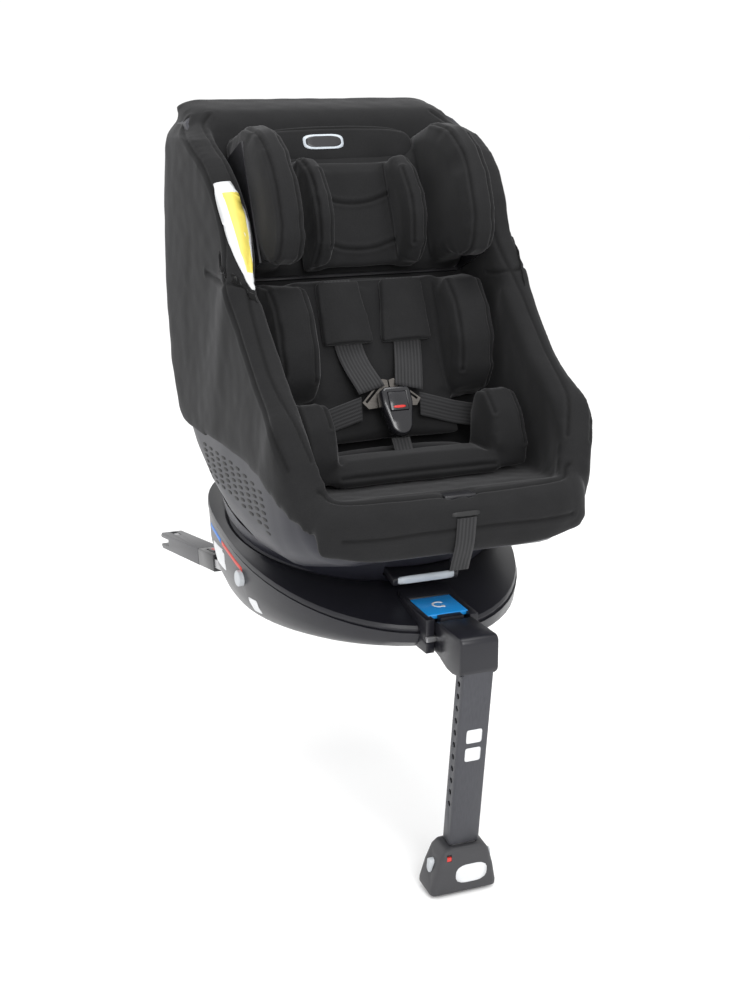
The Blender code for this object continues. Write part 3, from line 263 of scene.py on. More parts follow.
def plastic(name, colour, roughness, grain=1500.0, depth=0.12, wear=1.5, **constants):
    """Moulded plastic: fine grain, uneven sheen and paler worn edges."""
    s = Surface(name, colour, roughness, **constants)
    fine = s.noise(grain, 2.0)
    broad = s.noise(9.0, 5.0)
    edge = s.add("ShaderNodeNewGeometry").outputs["Pointiness"]
    worn = s.maths("MULTIPLY", s.ranged(edge, 0.52, 0.62), s.ranged(s.noise(70.0, 4.0), 0.35, 0.65))
    tone = s.mix(s.ranged(broad, 0.3, 0.7), shade(colour, 0.92), shade(colour, 1.08))
    s.link(s.mix(s.maths("MULTIPLY", worn, 0.6), tone, shade(colour, wear)), "Base Color")
    mottled = s.maths("ADD", s.ranged(broad, 0.3, 0.7, -0.03, 0.03), s.ranged(fine, 0.3, 0.7, -0.03, 0.03))
    s.link(s.maths("ADD", mottled, roughness), "Roughness")
    s.bump(fine, depth, 0.0002)
    return s.material


def metal(name, colour, roughness, stretch=(40.0, 900.0, 900.0), metallic=0.9):
    """Metal with fine drawn lines."""
    s = Surface(name, colour, roughness, Metallic=metallic)
    long = s.add("ShaderNodeMapping", {"Vector": s.place(), "Scale": stretch}).outputs[0]
    lines = s.noise(1.0, 4.0, long)
    s.link(s.mix(s.ranged(lines, 0.3, 0.7), shade(colour, 0.85), shade(colour, 1.12)), "Base Color")
    s.link(s.ranged(lines, 0.3, 0.7, roughness - 0.06, roughness + 0.08), "Roughness")
    s.bump(lines, 0.08, 0.0001)
    return s.material


def printed(name, colour, roughness=0.45):
    """A smooth printed label, a little uneven."""
    s = Surface(name, colour, roughness)
    patchy = s.ranged(s.noise(60.0, 3.0), 0.3, 0.7)
    s.link(s.mix(patchy, shade(colour, 0.95), shade(colour, 1.03)), "Base Color")
    s.bump(s.noise(400.0), 0.04, 0.0001)
    return s.material


FABRIC = fabric("charcoal_knit", (0.0130, 0.0130, 0.0136))
FABRIC_DARK = fabric("charcoal_knit_insert", (0.0120, 0.0120, 0.0126))
WEB = webbing("grey_webbing", (0.017, 0.017, 0.018))
BINDING = fabric("black_binding", (0.0060, 0.0060, 0.0062))
BASE = plastic("base_plastic", (0.009, 0.009, 0.012), 0.33, depth=0.05, Specular_IOR_Level=0.34)
SLATE = plastic("slate_plastic", (0.015, 0.0155, 0.022), 0.42, depth=0.08, Specular_IOR_Level=0.28)
BLACK = plastic("black_plastic", (0.013, 0.013, 0.015), 0.34, depth=0.06)
GLOSS = plastic("gloss_black", (0.010, 0.010, 0.012), 0.18, depth=0.02)
GREY = plastic("grey_moulded", (0.055, 0.055, 0.059), 0.42)
FOOT = plastic("foot_plastic", (0.026, 0.026, 0.029), 0.50, depth=0.2)
PALE = plastic("pale_button", (0.42, 0.44, 0.46), 0.45, wear=1.1)
BLUE = plastic("blue_button", (0.010, 0.215, 0.560), 0.32, depth=0.03, wear=1.2)
RED = plastic("red_plastic", (0.480, 0.020, 0.015), 0.35, depth=0.03, wear=1.2)
RUBBER = plastic("sole_rubber", (0.012, 0.012, 0.012), 0.82, grain=900.0, depth=0.4)
STEEL = metal("plated_steel", (0.36, 0.36, 0.37), 0.33)
LEG_PAINT = metal("leg_paint", (0.047, 0.048, 0.055), 0.42, (700.0, 700.0, 60.0), 0.45)
BRONZE = metal("bronze_plated", (0.110, 0.102, 0.094), 0.36)
WHITE = printed("white_label", (0.60, 0.61, 0.62))
YELLOW = printed("yellow_label", (0.62, 0.52, 0.10))
SILVER = printed("silver_label", (0.46, 0.50, 0.54), 0.35)
# Near-black sheets laid on surfaces for the vent holes and the strap's slot: painted shade standing in for
# the openings.
OPENING_SHADE = plastic("painted_opening_shade", (0.0030, 0.0030, 0.0035), 0.6)
LABEL_BLUE = printed("blue_stripe", (0.03, 0.16, 0.52))
LABEL_RED = printed("red_stripe", (0.50, 0.035, 0.025))

CAD_LOOKS = {
    BASE: ("base_lower_shell", "base_upper_shell", "leg_bracket", "leg_head", "recline_handle"),
    SLATE: ("seat_shell", "turntable_carrier"),
    BLACK: ("inner_shell", "headrest_shell", "harness_release_button", "turntable_pedestal",
            "headrest_lever"),
    GLOSS: ("buckle_housing", "buckle_button"),
    FOOT: ("foot_housing",),
    PALE: ("foot_button_left", "foot_button_right", "isofix_adjust_button_left",
           "isofix_adjust_button_right"),
    BLUE: ("rotation_button",),
    RED: ("foot_indicator",),
    RUBBER: ("foot_sole",),
    STEEL: ("bearing_race", "rotation_lock_pin", "leg_hinge_pin", "leg_inner_tube", "harness_yoke",
            "leg_lock_pin_left", "leg_lock_pin_right"),
    LEG_PAINT: ("leg_outer_tube",),
    BRONZE: ("buckle_tongue_left", "buckle_tongue_right"),
}
CAD_LOOKS_BOTH = {
    BLACK: ("isofix_latch_housing",),
    GREY: ("isofix_jaw", "isofix_release"),
    STEEL: ("isofix_arm", "isofix_hook"),
}


def dress(name, material):
    """Give a carried-over CAD node its finished material."""
    slots = NODES[name].data.materials
    if len(slots):
        slots[0] = material
    else:
        slots.append(material)


def dress_cad_nodes():
    for material, names in CAD_LOOKS.items():
        for name in names:
            dress(name, material)
    for material, names in CAD_LOOKS_BOTH.items():
        for name in names:
            for _, tag in SIDES:
                dress(f"{name}_{tag}", material)


BEVELLED = ("leg_head", "leg_bracket", "foot_housing", "foot_sole", "rotation_button", "recline_handle",
            "buckle_housing", "buckle_button", "isofix_jaw_left", "isofix_jaw_right",
            "isofix_latch_housing_left", "isofix_latch_housing_right", "isofix_release_left",
            "isofix_release_right", "leg_outer_tube")
SHARP_ANGLE = math.radians(33)
EASED_EDGE = 0.0010
WELD_DISTANCE = 1e-5


def smoothing_group():
    """Geometry nodes that shade smooth across every edge below the sharp angle."""
    group = bpy.data.node_groups.new("smooth_by_angle", "GeometryNodeTree")
    for direction in ("INPUT", "OUTPUT"):
        group.interface.new_socket("Geometry", in_out=direction, socket_type="NodeSocketGeometry")
    nodes, links = group.nodes, group.links
    drop = nodes.new("GeometryNodeRemoveAttribute")
    drop.inputs["Name"].default_value = "custom_normal"
    angle = nodes.new("GeometryNodeInputMeshEdgeAngle")
    below = nodes.new("FunctionNodeCompare")
    below.operation = "LESS_THAN"
    below.inputs["B"].default_value = SHARP_ANGLE
    edges = nodes.new("GeometryNodeSetShadeSmooth")
    edges.domain = "EDGE"
    faces = nodes.new("GeometryNodeSetShadeSmooth")
    faces.domain = "FACE"
    links.new(nodes.new("NodeGroupInput").outputs[0], drop.inputs["Geometry"])
    links.new(angle.outputs["Unsigned Angle"], below.inputs["A"])
    links.new(drop.outputs["Geometry"], edges.inputs["Geometry"])
    links.new(below.outputs["Result"], edges.inputs["Shade Smooth"])
    links.new(edges.outputs["Geometry"], faces.inputs["Geometry"])
    links.new(faces.outputs["Geometry"], nodes.new("NodeGroupOutput").inputs[0])
    return group


def finish_cad_surfaces():
    """Eased edges on the moulded parts and smooth shading on every carried-over CAD node."""
    group = smoothing_group()
    for name, node in NODES.items():
        weld = node.modifiers.new("weld", "WELD")
        weld.merge_threshold = WELD_DISTANCE
        if name in BEVELLED:
            bevel = node.modifiers.new("eased_edges", "BEVEL")
            bevel.width = EASED_EDGE
            bevel.segments = 2
            bevel.limit_method = "ANGLE"
            bevel.angle_limit = SHARP_ANGLE
        node.modifiers.new("smooth", "NODES").node_group = group


# ---------------------------------------------------------------- mesh helpers
def new_piece(name, points, faces, material, body):
    """A mesh piece that rides on a body."""
    mesh = bpy.data.meshes.new(name)
    mesh.from_pydata([tuple(p) for p in points], [], faces)
    piece = bpy.data.objects.new(name, mesh)
    bpy.context.scene.collection.objects.link(piece)
    mesh.materials.append(material)
    work = bmesh.new()
    work.from_mesh(mesh)
    bmesh.ops.recalc_face_normals(work, faces=work.faces)
    work.to_mesh(mesh)
    work.free()
    mesh.shade_smooth()
    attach(piece, body)
    return piece


def evaluate(piece):
    """Apply the piece's modifiers."""
    graph = bpy.context.evaluated_depsgraph_get()
    mesh = bpy.data.meshes.new_from_object(piece.evaluated_get(graph))
    piece.modifiers.clear()
    piece.data = mesh


def soft_copy(name, nodes, voxel, body, material, inset=0.0):
    """A voxel remesh of CAD solids, joined, with every point moved in a little first."""
    work = bmesh.new()
    for node in nodes:
        work.from_mesh(NODES[node].data)
    bmesh.ops.remove_doubles(work, verts=work.verts, dist=WELD_DISTANCE)
    work.normal_update()
    if inset:
        for vertex in work.verts:
            vertex.co -= vertex.normal * inset
    mesh = bpy.data.meshes.new(name)
    work.to_mesh(mesh)
    work.free()
    piece = bpy.data.objects.new(name, mesh)
    bpy.context.scene.collection.objects.link(piece)
    remesh = piece.modifiers.new("remesh", "REMESH")
    remesh.mode = "VOXEL"
    remesh.voxel_size = voxel
    evaluate(piece)
    piece.data.materials.clear()
    piece.data.materials.append(material)
    piece.data.shade_smooth()
    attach(piece, body)
    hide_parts(*nodes)
    return piece


def coordinates(piece):
    points = np.empty(len(piece.data.vertices) * 3)
    piece.data.vertices.foreach_get("co", points)
    return points.reshape(-1, 3)


def put_coordinates(piece, points):
    piece.data.vertices.foreach_set("co", points.ravel())
    piece.data.update()


RELAX_SHARE = 0.5


def relax(piece, rounds, spring_back):
    """Even out the surface; spring_back puts lost volume back."""
    edges = np.empty(len(piece.data.edges) * 2, dtype=int)
    piece.data.edges.foreach_get("vertices", edges)
    a, b = edges.reshape(-1, 2).T
    points = coordinates(piece)
    degree = np.bincount(np.concatenate((a, b)), minlength=len(points))[:, None]

    def towards_neighbours(p, factor):
        total = np.zeros_like(p)
        np.add.at(total, a, p[b])
        np.add.at(total, b, p[a])
        return p + (total / degree - p) * factor

    for _ in range(rounds):
        points = towards_neighbours(points, RELAX_SHARE)
        points = towards_neighbours(points, -spring_back)
    put_coordinates(piece, points)


CLOTH_PRESSURE = 4.0
CLOTH_FRAMES = 20


def inflate(piece, cap, held):
    """Blow the piece up as cloth, hold the points that rest on something, and cap each point's movement."""
    start = coordinates(piece)
    cloth = piece.modifiers.new("cloth", "CLOTH")
    cloth.settings.use_pressure = True
    cloth.settings.uniform_pressure_force = CLOTH_PRESSURE
    cloth.settings.effector_weights.gravity = 0.0
    group = piece.vertex_groups.new(name="held")
    group.add([i for i, p in enumerate(start) if held(p)], 1.0, "REPLACE")
    cloth.settings.vertex_group_mass = "held"
    scene = bpy.context.scene
    for number in range(1, CLOTH_FRAMES + 1):
        scene.frame_set(number)
    graph = bpy.context.evaluated_depsgraph_get()
    blown = piece.evaluated_get(graph).to_mesh()
    moved = np.empty(len(start) * 3)
    blown.vertices.foreach_get("co", moved)
    moved = moved.reshape(-1, 3) - start
    piece.modifiers.remove(cloth)
    scene.frame_set(1)
    length = np.linalg.norm(moved, axis=1, keepdims=True)
    put_coordinates(piece, start + moved * np.minimum(1.0, cap / np.maximum(length, 1e-9)))


def subdivide(piece):
    modifier = piece.modifiers.new("subdivision", "SUBSURF")
    modifier.levels = modifier.render_levels = 1
    evaluate(piece)


def crease(piece, size, scale, seed):
    """Slight unevenness of cloth over foam."""
    normals = [vertex.normal.copy() for vertex in piece.data.vertices]
    for vertex, normal in zip(piece.data.vertices, normals):
        place = vertex.co * scale + Vector((seed, 0.0, 0.0))
        vertex.co += normal * noise.noise(place) * size
    piece.data.update()


def spaced(curve, step=0.0015):
    """Points at an even spacing along a polyline."""
    points = [Vector(curve[0])]
    for here, there in zip(curve, curve[1:]):
        here, there = Vector(here), Vector(there)
        count = max(1, round((there - here).length / step))
        points += [here.lerp(there, i / count) for i in range(1, count + 1)]
    return points


def rounded(curve, parts=8):
    """A smooth curve through points."""
    points = [Vector(p) for p in curve]
    padded = [2 * points[0] - points[1]] + points + [2 * points[-1] - points[-2]]
    smooth = []
    for i in range(1, len(padded) - 2):
        p0, p1, p2, p3 = padded[i - 1:i + 3]
        for k in range(parts):
            t = k / parts
            smooth.append(0.5 * ((2 * p1) + (p2 - p0) * t + (2 * p0 - 5 * p1 + 4 * p2 - p3) * t * t
                                 + (3 * p1 - p0 - 3 * p2 + p3) * t ** 3))
    return smooth + [points[-1]]


def surface_of(piece):
    mesh = piece.data
    return BVHTree.FromPolygons([v.co for v in mesh.vertices], [p.vertices for p in mesh.polygons])


def on_surface(tree, curve, rounds=6):
    """A curve's points moved to the nearest places on a surface, and evened out."""
    points = [tree.find_nearest(p)[0] for p in spaced(curve)]
    for _ in range(rounds):
        inner = [(a + 2 * b + c) / 4 for a, b, c in zip(points, points[1:], points[2:])]
        points = [points[0]] + inner + [points[-1]]
    return points


def sew(piece, curves, width=0.0023, depth=0.0022):
    """Sink seams into the piece along curves, and store each point's groove weight for the material's painted
    shade.
    """
    tree = surface_of(piece)
    points = [p for curve in curves for p in on_surface(tree, rounded(curve))]
    near = KDTree(len(points))
    for index, point in enumerate(points):
        near.insert(point, index)
    near.balance()
    marks = np.zeros(len(piece.data.vertices), np.float32)
    normals = [vertex.normal.copy() for vertex in piece.data.vertices]
    for index, vertex in enumerate(piece.data.vertices):
        distance = near.find(vertex.co)[2]
        if distance < 4 * width:
            groove = math.exp(-(distance / width) ** 2)
            pillow = 0.35 * math.exp(-((distance - 2.4 * width) / width) ** 2)
            vertex.co += normals[index] * depth * (pillow - groove)
            marks[index] = groove
    # The groove weight is stored for the fabric material, which paints shade along each groove with it.
    mark = piece.data.attributes.get("seam") or piece.data.attributes.new("seam", "FLOAT", "POINT")
    mark.data.foreach_set("value", marks)
    piece.data.update()


def mirror(curves):
    return curves + [[(-p[0], p[1], p[2]) for p in curve] for curve in curves]


# ---------------------------------------------------------------- the seat's cover
# From the front to the top: the wall's foot and its rim as (y, z), or an angle on the recline arc and the
# wall's height above it; then how far the wall is drawn in.
STATIONS = (
    ((-0.2980, 0.1420), (-0.2620, 0.2450), 0.010), ((-0.2760, 0.1300), (-0.2400, 0.2830), -0.001),
    ((-0.2390, 0.1200), (-0.2080, 0.3040), -0.005), (-8, 0.225, -0.007), (2, 0.270, -0.006),
    (12, 0.300, -0.004), (22, 0.322, 0.003), (30, 0.338, 0.009), ((0.1720, 0.2120), (-0.0370, 0.4880), 0.011),
    ((0.2050, 0.2800), (-0.0220, 0.5200), 0.009), ((0.2190, 0.3600), (0.0010, 0.5500), 0.006),
    ((0.2200, 0.4350), (0.0300, 0.5720), 0.004), ((0.2200, 0.5100), (0.0620, 0.5880), 0.002),
    ((0.2180, 0.5750), (0.0980, 0.6050), 0.003), ((0.2110, 0.6150), (0.1260, 0.6180), 0.007),
    ((0.1950, 0.6370), (0.1420, 0.6270), 0.020),
)


def rim_line(beyond, inset):
    """A line along the left rim: this far beyond the shell's rim, this far in from its wall."""
    line = []
    for outer, rim, narrow in STATIONS:
        if not isinstance(outer, tuple):
            turn = math.radians(outer)
            toward = Vector((0.0, -math.sin(turn), math.cos(turn)))
            low = Vector((0.0, *RECLINE_AXIS.yz)) - RECLINE_RADIUS * toward
            high = low + rim * toward
        else:
            low, high = Vector((0.0, *outer)), Vector((0.0, *rim))
            toward = (high - low).normalized()
        place = high + toward * beyond
        line.append((SHELL_HALF_WIDTH - narrow - inset, place.y, place.z))
    return line


ROOF_HEIGHT = 0.6455
ROOF_RADIUS = 0.026
ROOF_DROP = 0.016
COVER_GROWTH = 0.0013
CORNER_GROWTH = 0.0040
CORNER_START, CORNER_END = 0.090, 0.180
CORNER_LIFT, CORNER_SET_BACK = 0.020, 0.006
COVER_VOXEL = 0.0055
COVER_STAND_OFF = 0.004
ROOF_LEAST_WIDTH = 0.178                    # half widths, as are the next two lines' first values
ROOF_DROP_START, ROOF_DROP_WIDTH = 0.150, 0.048
GROWTH_START, GROWTH_WIDTH = 0.150, 0.030
GROWTH_FRONT, GROWTH_DEPTH = -0.190, 0.050
ROOF_BASE, ROOF_BLEND = 0.600, 0.030
CORNER_TOP, CORNER_HEIGHT = 0.215, 0.077
CORNER_FRONT, CORNER_DEPTH = -0.276, 0.030


def fade(distance, length, most=1.0):
    """0 up to the start of a length, rising evenly to 1 at its end."""
    return np.clip(distance / length, 0.0, most)


def shape_cover(cover):
    """Thicken the cover a little over the shell, and round the roof's sides and the front's lower corners."""
    normals = np.empty(len(cover.data.vertices) * 3)
    cover.data.vertices.foreach_get("normal", normals)
    points = coordinates(cover)
    x, y, z = points.T
    corner = fade(GROWTH_FRONT - y, GROWTH_DEPTH) * fade(np.abs(x) - GROWTH_START, GROWTH_WIDTH)
    points += normals.reshape(-1, 3) * (COVER_GROWTH + CORNER_GROWTH * corner)[:, None]
    x, y, z = points.T
    over = np.clip(z - (ROOF_HEIGHT - ROOF_RADIUS), 0.0, ROOF_RADIUS)
    widest = SHELL_HALF_WIDTH + COVER_STAND_OFF - ROOF_RADIUS + np.sqrt(ROOF_RADIUS ** 2 - over ** 2)
    widest = np.maximum(widest, ROOF_LEAST_WIDTH)
    points[:, 0] = np.where(over > 0.0, np.sign(x) * np.minimum(np.abs(x), widest), x)
    beside = fade(np.abs(x) - ROOF_DROP_START, ROOF_DROP_WIDTH, 1.2)
    points[:, 2] -= ROOF_DROP * beside ** 2 * fade(z - ROOF_BASE, ROOF_BLEND)
    aside = fade(np.abs(x) - CORNER_START, CORNER_END - CORNER_START) ** 2
    low = fade(CORNER_TOP - z, CORNER_HEIGHT)
    ahead = fade(CORNER_FRONT - y, CORNER_DEPTH)
    points[:, 2] += CORNER_LIFT * aside * low * ahead
    points[:, 1] += CORNER_SET_BACK * aside * ahead
    put_coordinates(cover, points)


def make_cover():
    """The whole cover of the bucket in one knit, with its seams."""
    nodes = ("seat_cover", "cover_front_panel", "cover_top_panel")
    cover = soft_copy("cover_soft", nodes, COVER_VOXEL, "seat", FABRIC)
    relax(cover, 14, 0.36)
    shape_cover(cover)
    subdivide(cover)
    crease(cover, 0.0006, 11.0, 3.0)
    crease(cover, 0.0005, 45.0, 5.0)
    front = [(-0.165, -0.262, 0.2180), (-0.130, -0.296, 0.2125), (0.0, -0.303, 0.2115),
             (0.130, -0.296, 0.2125), (0.165, -0.262, 0.2180)]
    low_front = [(-0.150, -0.3150, 0.172), (0.0, -0.322, 0.174), (0.150, -0.3150, 0.172)]
    outer = rim_line(0.004, -0.008)
    inner = rim_line(0.012, 0.020)
    belt = [(0.1560, -0.046, 0.430), (0.1800, -0.075, 0.432), (0.1980, -0.062, 0.434),
            (0.2000, 0.020, 0.440)]
    sew(cover, [front, low_front] + mirror([outer, inner, belt]), 0.0026, 0.0018)
    return cover


# ---------------------------------------------------------------- headrest and inserts
# The bolsters' edges as (forward, up) in the back's frame, and the hip lobes' as (y, z).
WING_EDGE = ((0.0300, 0.0010), (0.0620, -0.0090), (0.0900, -0.0060), (0.1090, 0.0140), (0.1180, 0.0450),
             (0.1170, 0.0900), (0.1020, 0.1300), (0.0760, 0.1620), (0.0350, 0.1840), (-0.0200, 0.1880))
HEAD_EDGE = ((0.0200, 0.0000), (0.0480, 0.0180), (0.0610, 0.0500), (0.0620, 0.0800), (0.0500, 0.1180),
             (0.0250, 0.1440))
BODY_EDGE = ((0.0120, -0.1720), (0.0360, -0.1500), (0.0500, -0.1150), (0.0500, -0.0650), (0.0340, -0.0270),
             (-0.0050, -0.0100))
HIP_EDGE = ((-0.1960, 0.2360), (-0.1790, 0.2760), (-0.1520, 0.2980), (-0.1270, 0.2940), (-0.1120, 0.2600))


def back_curve(x, edge, grow=0.0):
    return [tuple(back_point(x, forward + grow, up)) for forward, up in edge]


def behind(limit):
    """Points further back than this along the back's forward normal."""
    origin = back_point(0.0, 0.0, 0.0)
    return lambda p: (Vector(p) - origin).dot(BACK_FORWARD) < limit


def blow_up(piece, rounds, cap, held, wrinkles):
    """Smooth a remeshed solid, inflate it, and smooth, subdivide and crease the result."""
    before, after = rounds
    relax(piece, before, 0.25)
    inflate(piece, cap, held)
    relax(piece, after, 0.3)
    subdivide(piece)
    crease(piece, *wrinkles)


SMILE_HALF = 0.05


def smile(height, dip):
    """A sewn channel across the head insert, lowest in its middle."""
    return [tuple(back_point(x, 0.0, height - dip * (1 - (x / SMILE_HALF) ** 2)))
            for x in (-SMILE_HALF, -0.025, 0.0, 0.025, SMILE_HALF)]


def make_headrest():
    """The headrest's cover with its wings, the head insert with its bolsters, and the band."""
    cover = soft_copy("headrest_soft", ("headrest_cover",), 0.0045, "headrest", FABRIC, 0.0015)
    blow_up(cover, (8, 4), 0.006, behind(-0.030), (0.0010, 18.0, 1.0))
    sew(cover, mirror([back_curve(0.1450, WING_EDGE), back_curve(0.1150, WING_EDGE[1:-1], -0.004)]))
    insert = soft_copy("head_insert_soft", ("head_insert",), 0.0040, "headrest", FABRIC_DARK, 0.0010)
    blow_up(insert, (7, 3), 0.005, behind(-0.012), (0.0008, 22.0, 2.0))
    seams = mirror([back_curve(0.0740, HEAD_EDGE), back_curve(0.0560, HEAD_EDGE[1:-1], -0.003)])
    sew(insert, seams + [smile(0.098, 0.012), smile(0.036, 0.010)])
    make_band()


def swell(value, power):
    return math.copysign(abs(value) ** (2 / power), value)


def pillow(name, place, centre, half, body, seed, rings=24, segments=48, power=3.2):
    """A stuffed roll along x, in a frame, with this centre and these half sizes."""
    points = []
    for i in range(1, rings):
        along = math.pi * (i / rings - 0.5)
        for j in range(segments):
            turn = 2 * math.pi * j / segments
            size = swell(math.cos(along), power)
            unit = (swell(math.sin(along), power), size * swell(math.cos(turn), power),
                    size * swell(math.sin(turn), power))
            points.append(place @ Vector([c + h * u for c, h, u in zip(centre, half, unit)]))
    faces = [(i * segments + j, i * segments + (j + 1) % segments, (i + 1) * segments + (j + 1) % segments,
              (i + 1) * segments + j) for i in range(rings - 2) for j in range(segments)]
    faces += [tuple(range(segments)), tuple(range(len(points) - segments, len(points)))]
    roll = new_piece(name, points, faces, FABRIC, body)
    subdivide(roll)
    crease(roll, 0.0010, 24.0, seed)
    return roll


def make_band():
    """The stuffed band across the top of the headrest, between its wings."""
    band = pillow("headrest_band", BACK, (0.0, 0.0275, 0.1745), (0.1085, 0.0095, 0.0265), "headrest", 4.0)
    sew(band, [[tuple(back_point(x, -0.018, 0.1985)) for x in (-0.095, 0.0, 0.095)]], 0.0020, 0.0012)


def make_inserts():
    """The small child's insert: back with bolsters, seat with hip lobes, and the roll at its rear end."""
    back = soft_copy("body_insert_soft", ("body_insert",), 0.0045, "seat", FABRIC_DARK, 0.0015)
    blow_up(back, (8, 3), 0.006, behind(-0.036), (0.0010, 20.0, 7.0))
    sew(back, mirror([back_curve(0.1445, BODY_EDGE), back_curve(0.1005, BODY_EDGE[1:-1], -0.003)]))
    seat = soft_copy("seat_insert_soft", ("seat_insert",), 0.0045, "seat", FABRIC_DARK, 0.0010)
    blow_up(seat, (7, 3), 0.005, lambda p: p[2] < 0.206, (0.0009, 20.0, 9.0))
    front = [(x, -0.199, 0.2150) for x in (-0.104, -0.05, 0.0, 0.05, 0.104)]
    outer = [(0.1455, y, z) for y, z in HIP_EDGE]
    inner = [(0.1095, y, z) for y, z in HIP_EDGE[1:]]
    sew(seat, [front] + mirror([outer, inner]))
    roll = pillow("insert_roll", Matrix.Identity(4), (0.0, -0.1130, 0.2125), (0.1030, 0.0170, 0.0125),
                  "seat", 6.0)


# ---------------------------------------------------------------- harness
SHOULDER_WIDTH, LAP_WIDTH, NARROW_WIDTH = 0.0378, 0.030, 0.025
WEB_THICKNESS, HIDDEN_WEB_THICKNESS = 0.0015, 0.0014
PAD_FLARE = 0.22
PAD_HALF_WIDTH, PAD_BULGE = 0.0260, 0.0050


def strap(name, route, width, thickness, body, nodes):
    """Flat webbing through (centre, across, out) stations, with firm edges and its weave's coordinates."""
    centres = [Vector(place[0]) for place in route]
    fine = rounded(centres, 10)
    rows = []
    parts = (len(fine) - 1) / (len(route) - 1)
    for index, centre in enumerate(fine):
        at = min(index / parts, len(route) - 1)
        first = min(int(at), len(route) - 2)
        share = at - first
        across = Vector(route[first][1]).normalized().lerp(Vector(route[first + 1][1]).normalized(), share)
        out = Vector(route[first][2]).normalized().lerp(Vector(route[first + 1][2]).normalized(), share)
        rows.append((centre, across.normalized(), out.normalized()))
    half, thick = width / 2, thickness / 2
    upper = [(-half, 0.0), (-half + 0.0006, thick), (-half + 0.0035, thick * 0.96),
             (-half * 0.4, thick * 0.8), (0.0, thick * 0.84), (half * 0.4, thick * 0.8),
             (half - 0.0035, thick * 0.96), (half - 0.0006, thick)]
    section = upper + [(half, 0.0)] + [(x, -y) for x, y in upper[:0:-1]]
    points = [centre + across * x + out * y for centre, across, out in rows for x, y in section]
    count = len(section)
    faces = [(i * count + j, i * count + (j + 1) % count,
              (i + 1) * count + (j + 1) % count, (i + 1) * count + j)
             for i in range(len(rows) - 1) for j in range(count)]
    faces += [tuple(range(count))[::-1], tuple(range(len(points) - count, len(points)))]
    piece = new_piece(name, points, faces, WEB, body)
    along = [0.0]
    for here, there in zip(rows, rows[1:]):
        along.append(along[-1] + (there[0] - here[0]).length)
    layer = piece.data.uv_layers.new(name="UVMap")
    for polygon in piece.data.polygons:
        for loop in polygon.loop_indices:
            vertex = piece.data.loops[loop].vertex_index
            layer.data[loop].uv = (section[vertex % count][0], along[vertex // count])
    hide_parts(*nodes)


def stuff(pad, middle):
    """Bulge the front of a shoulder pad and flare its lower end."""
    normals = [vertex.normal.copy() for vertex in pad.data.vertices]
    heights = [vertex.co.z for vertex in pad.data.vertices]
    top, height = max(heights), max(heights) - min(heights)
    for vertex in pad.data.vertices:
        vertex.co.x = middle + (vertex.co.x - middle) * (1.0 + PAD_FLARE * (top - vertex.co.z) / height)
    for vertex, normal in zip(pad.data.vertices, normals):
        front = max(0.0, normal.dot(BACK_FORWARD))
        crown = max(0.0, 1.0 - ((vertex.co.x - middle) / PAD_HALF_WIDTH) ** 2)
        vertex.co += BACK_FORWARD * PAD_BULGE * front * crown
    pad.data.update()


def make_harness():
    """Shoulder straps, their pads, lap straps, the crotch strap and the adjuster's webbing."""
    for side, tag in SIDES:
        across = Vector((side, 0.0, 0.0))
        start = back_point(side * 0.0440, 0.0080, -0.0160)
        middle = back_point(side * 0.0400, 0.0085, -0.1060)
        end = BUCKLE @ Vector((side * 0.0255, 0.0040, 0.0335))
        slant = (end - middle).normalized()
        low_out = BUCKLE.to_3x3() @ Vector((0.0, -1.0, 0.0))
        low_across = low_out.cross(slant) * side
        if low_across.x * side < 0:
            low_across = -low_across
        route = [(start, across, BACK_FORWARD), (middle, across, BACK_FORWARD), (end, low_across, low_out)]
        strap(f"shoulder_webbing_{tag}", route, SHOULDER_WIDTH, WEB_THICKNESS, "seat",
              (f"shoulder_strap_{tag}",))
        hip = Vector((side * 0.0900, -0.0990, 0.2600))
        lap_start = BUCKLE @ Vector((side * 0.0400, 0.0130, 0.0130))
        lap_up = Vector((0.0, 0.15, 1.0)).normalized()
        lap_out = (hip - lap_start).cross(lap_up) * side
        tucked = Vector((side * 0.1220, -0.0935, 0.2520))
        route = [(place, lap_up, lap_out) for place in (lap_start, (lap_start + hip) / 2, hip, tucked)]
        strap(f"lap_webbing_{tag}", route, LAP_WIDTH, WEB_THICKNESS, "seat", (f"lap_strap_{tag}",))
        pad = soft_copy(f"shoulder_pad_soft_{tag}", (f"shoulder_pad_{tag}",), 0.0028, "seat", FABRIC)
        relax(pad, 6, 0.35)
        stuff(pad, side * 0.0420)
        subdivide(pad)
        crease(pad, 0.0006, 40.0, side)
    top = BUCKLE @ Vector((0.0, 0.0030, -0.0318))
    foot = Vector((0.0, -0.1450, 0.2262))
    across = Vector((1.0, 0.0, 0.0))
    route = [(place, across, across.cross(top - foot)) for place in (top, foot)]
    strap("crotch_webbing", route, NARROW_WIDTH, WEB_THICKNESS, "seat", ("crotch_strap",))
    route = []
    for (y, z), (oy, oz) in (((-0.3250, 0.1880), (-1.0, 0.05)), ((-0.3200, 0.1560), (-1.0, -0.15)),
                             ((-0.3095, 0.1300), (-1.0, -0.30)), ((-0.3050, 0.1190), (-1.0, -0.40))):
        route.append((Vector((0.0, y, z)), across, Vector((0.0, oy, oz))))
    strap("adjuster_front_webbing", route, NARROW_WIDTH, WEB_THICKNESS, "seat", ("adjuster_strap",))
    route = []
    for y, z, turn in ((0.0890, 0.2560, 70), (0.0600, 0.1900, 60), (0.0150, 0.1560, 20),
                       (-0.0800, 0.1480, 0), (-0.2550, 0.1600, -3)):
        out = Vector((0.0, math.sin(math.radians(turn)), -math.cos(math.radians(turn))))
        route.append((Vector((0.0, y, z)), across, out))
    strap("adjuster_hidden_webbing", route, NARROW_WIDTH, HIDDEN_WEB_THICKNESS, "seat",
          ("adjuster_webbing",))


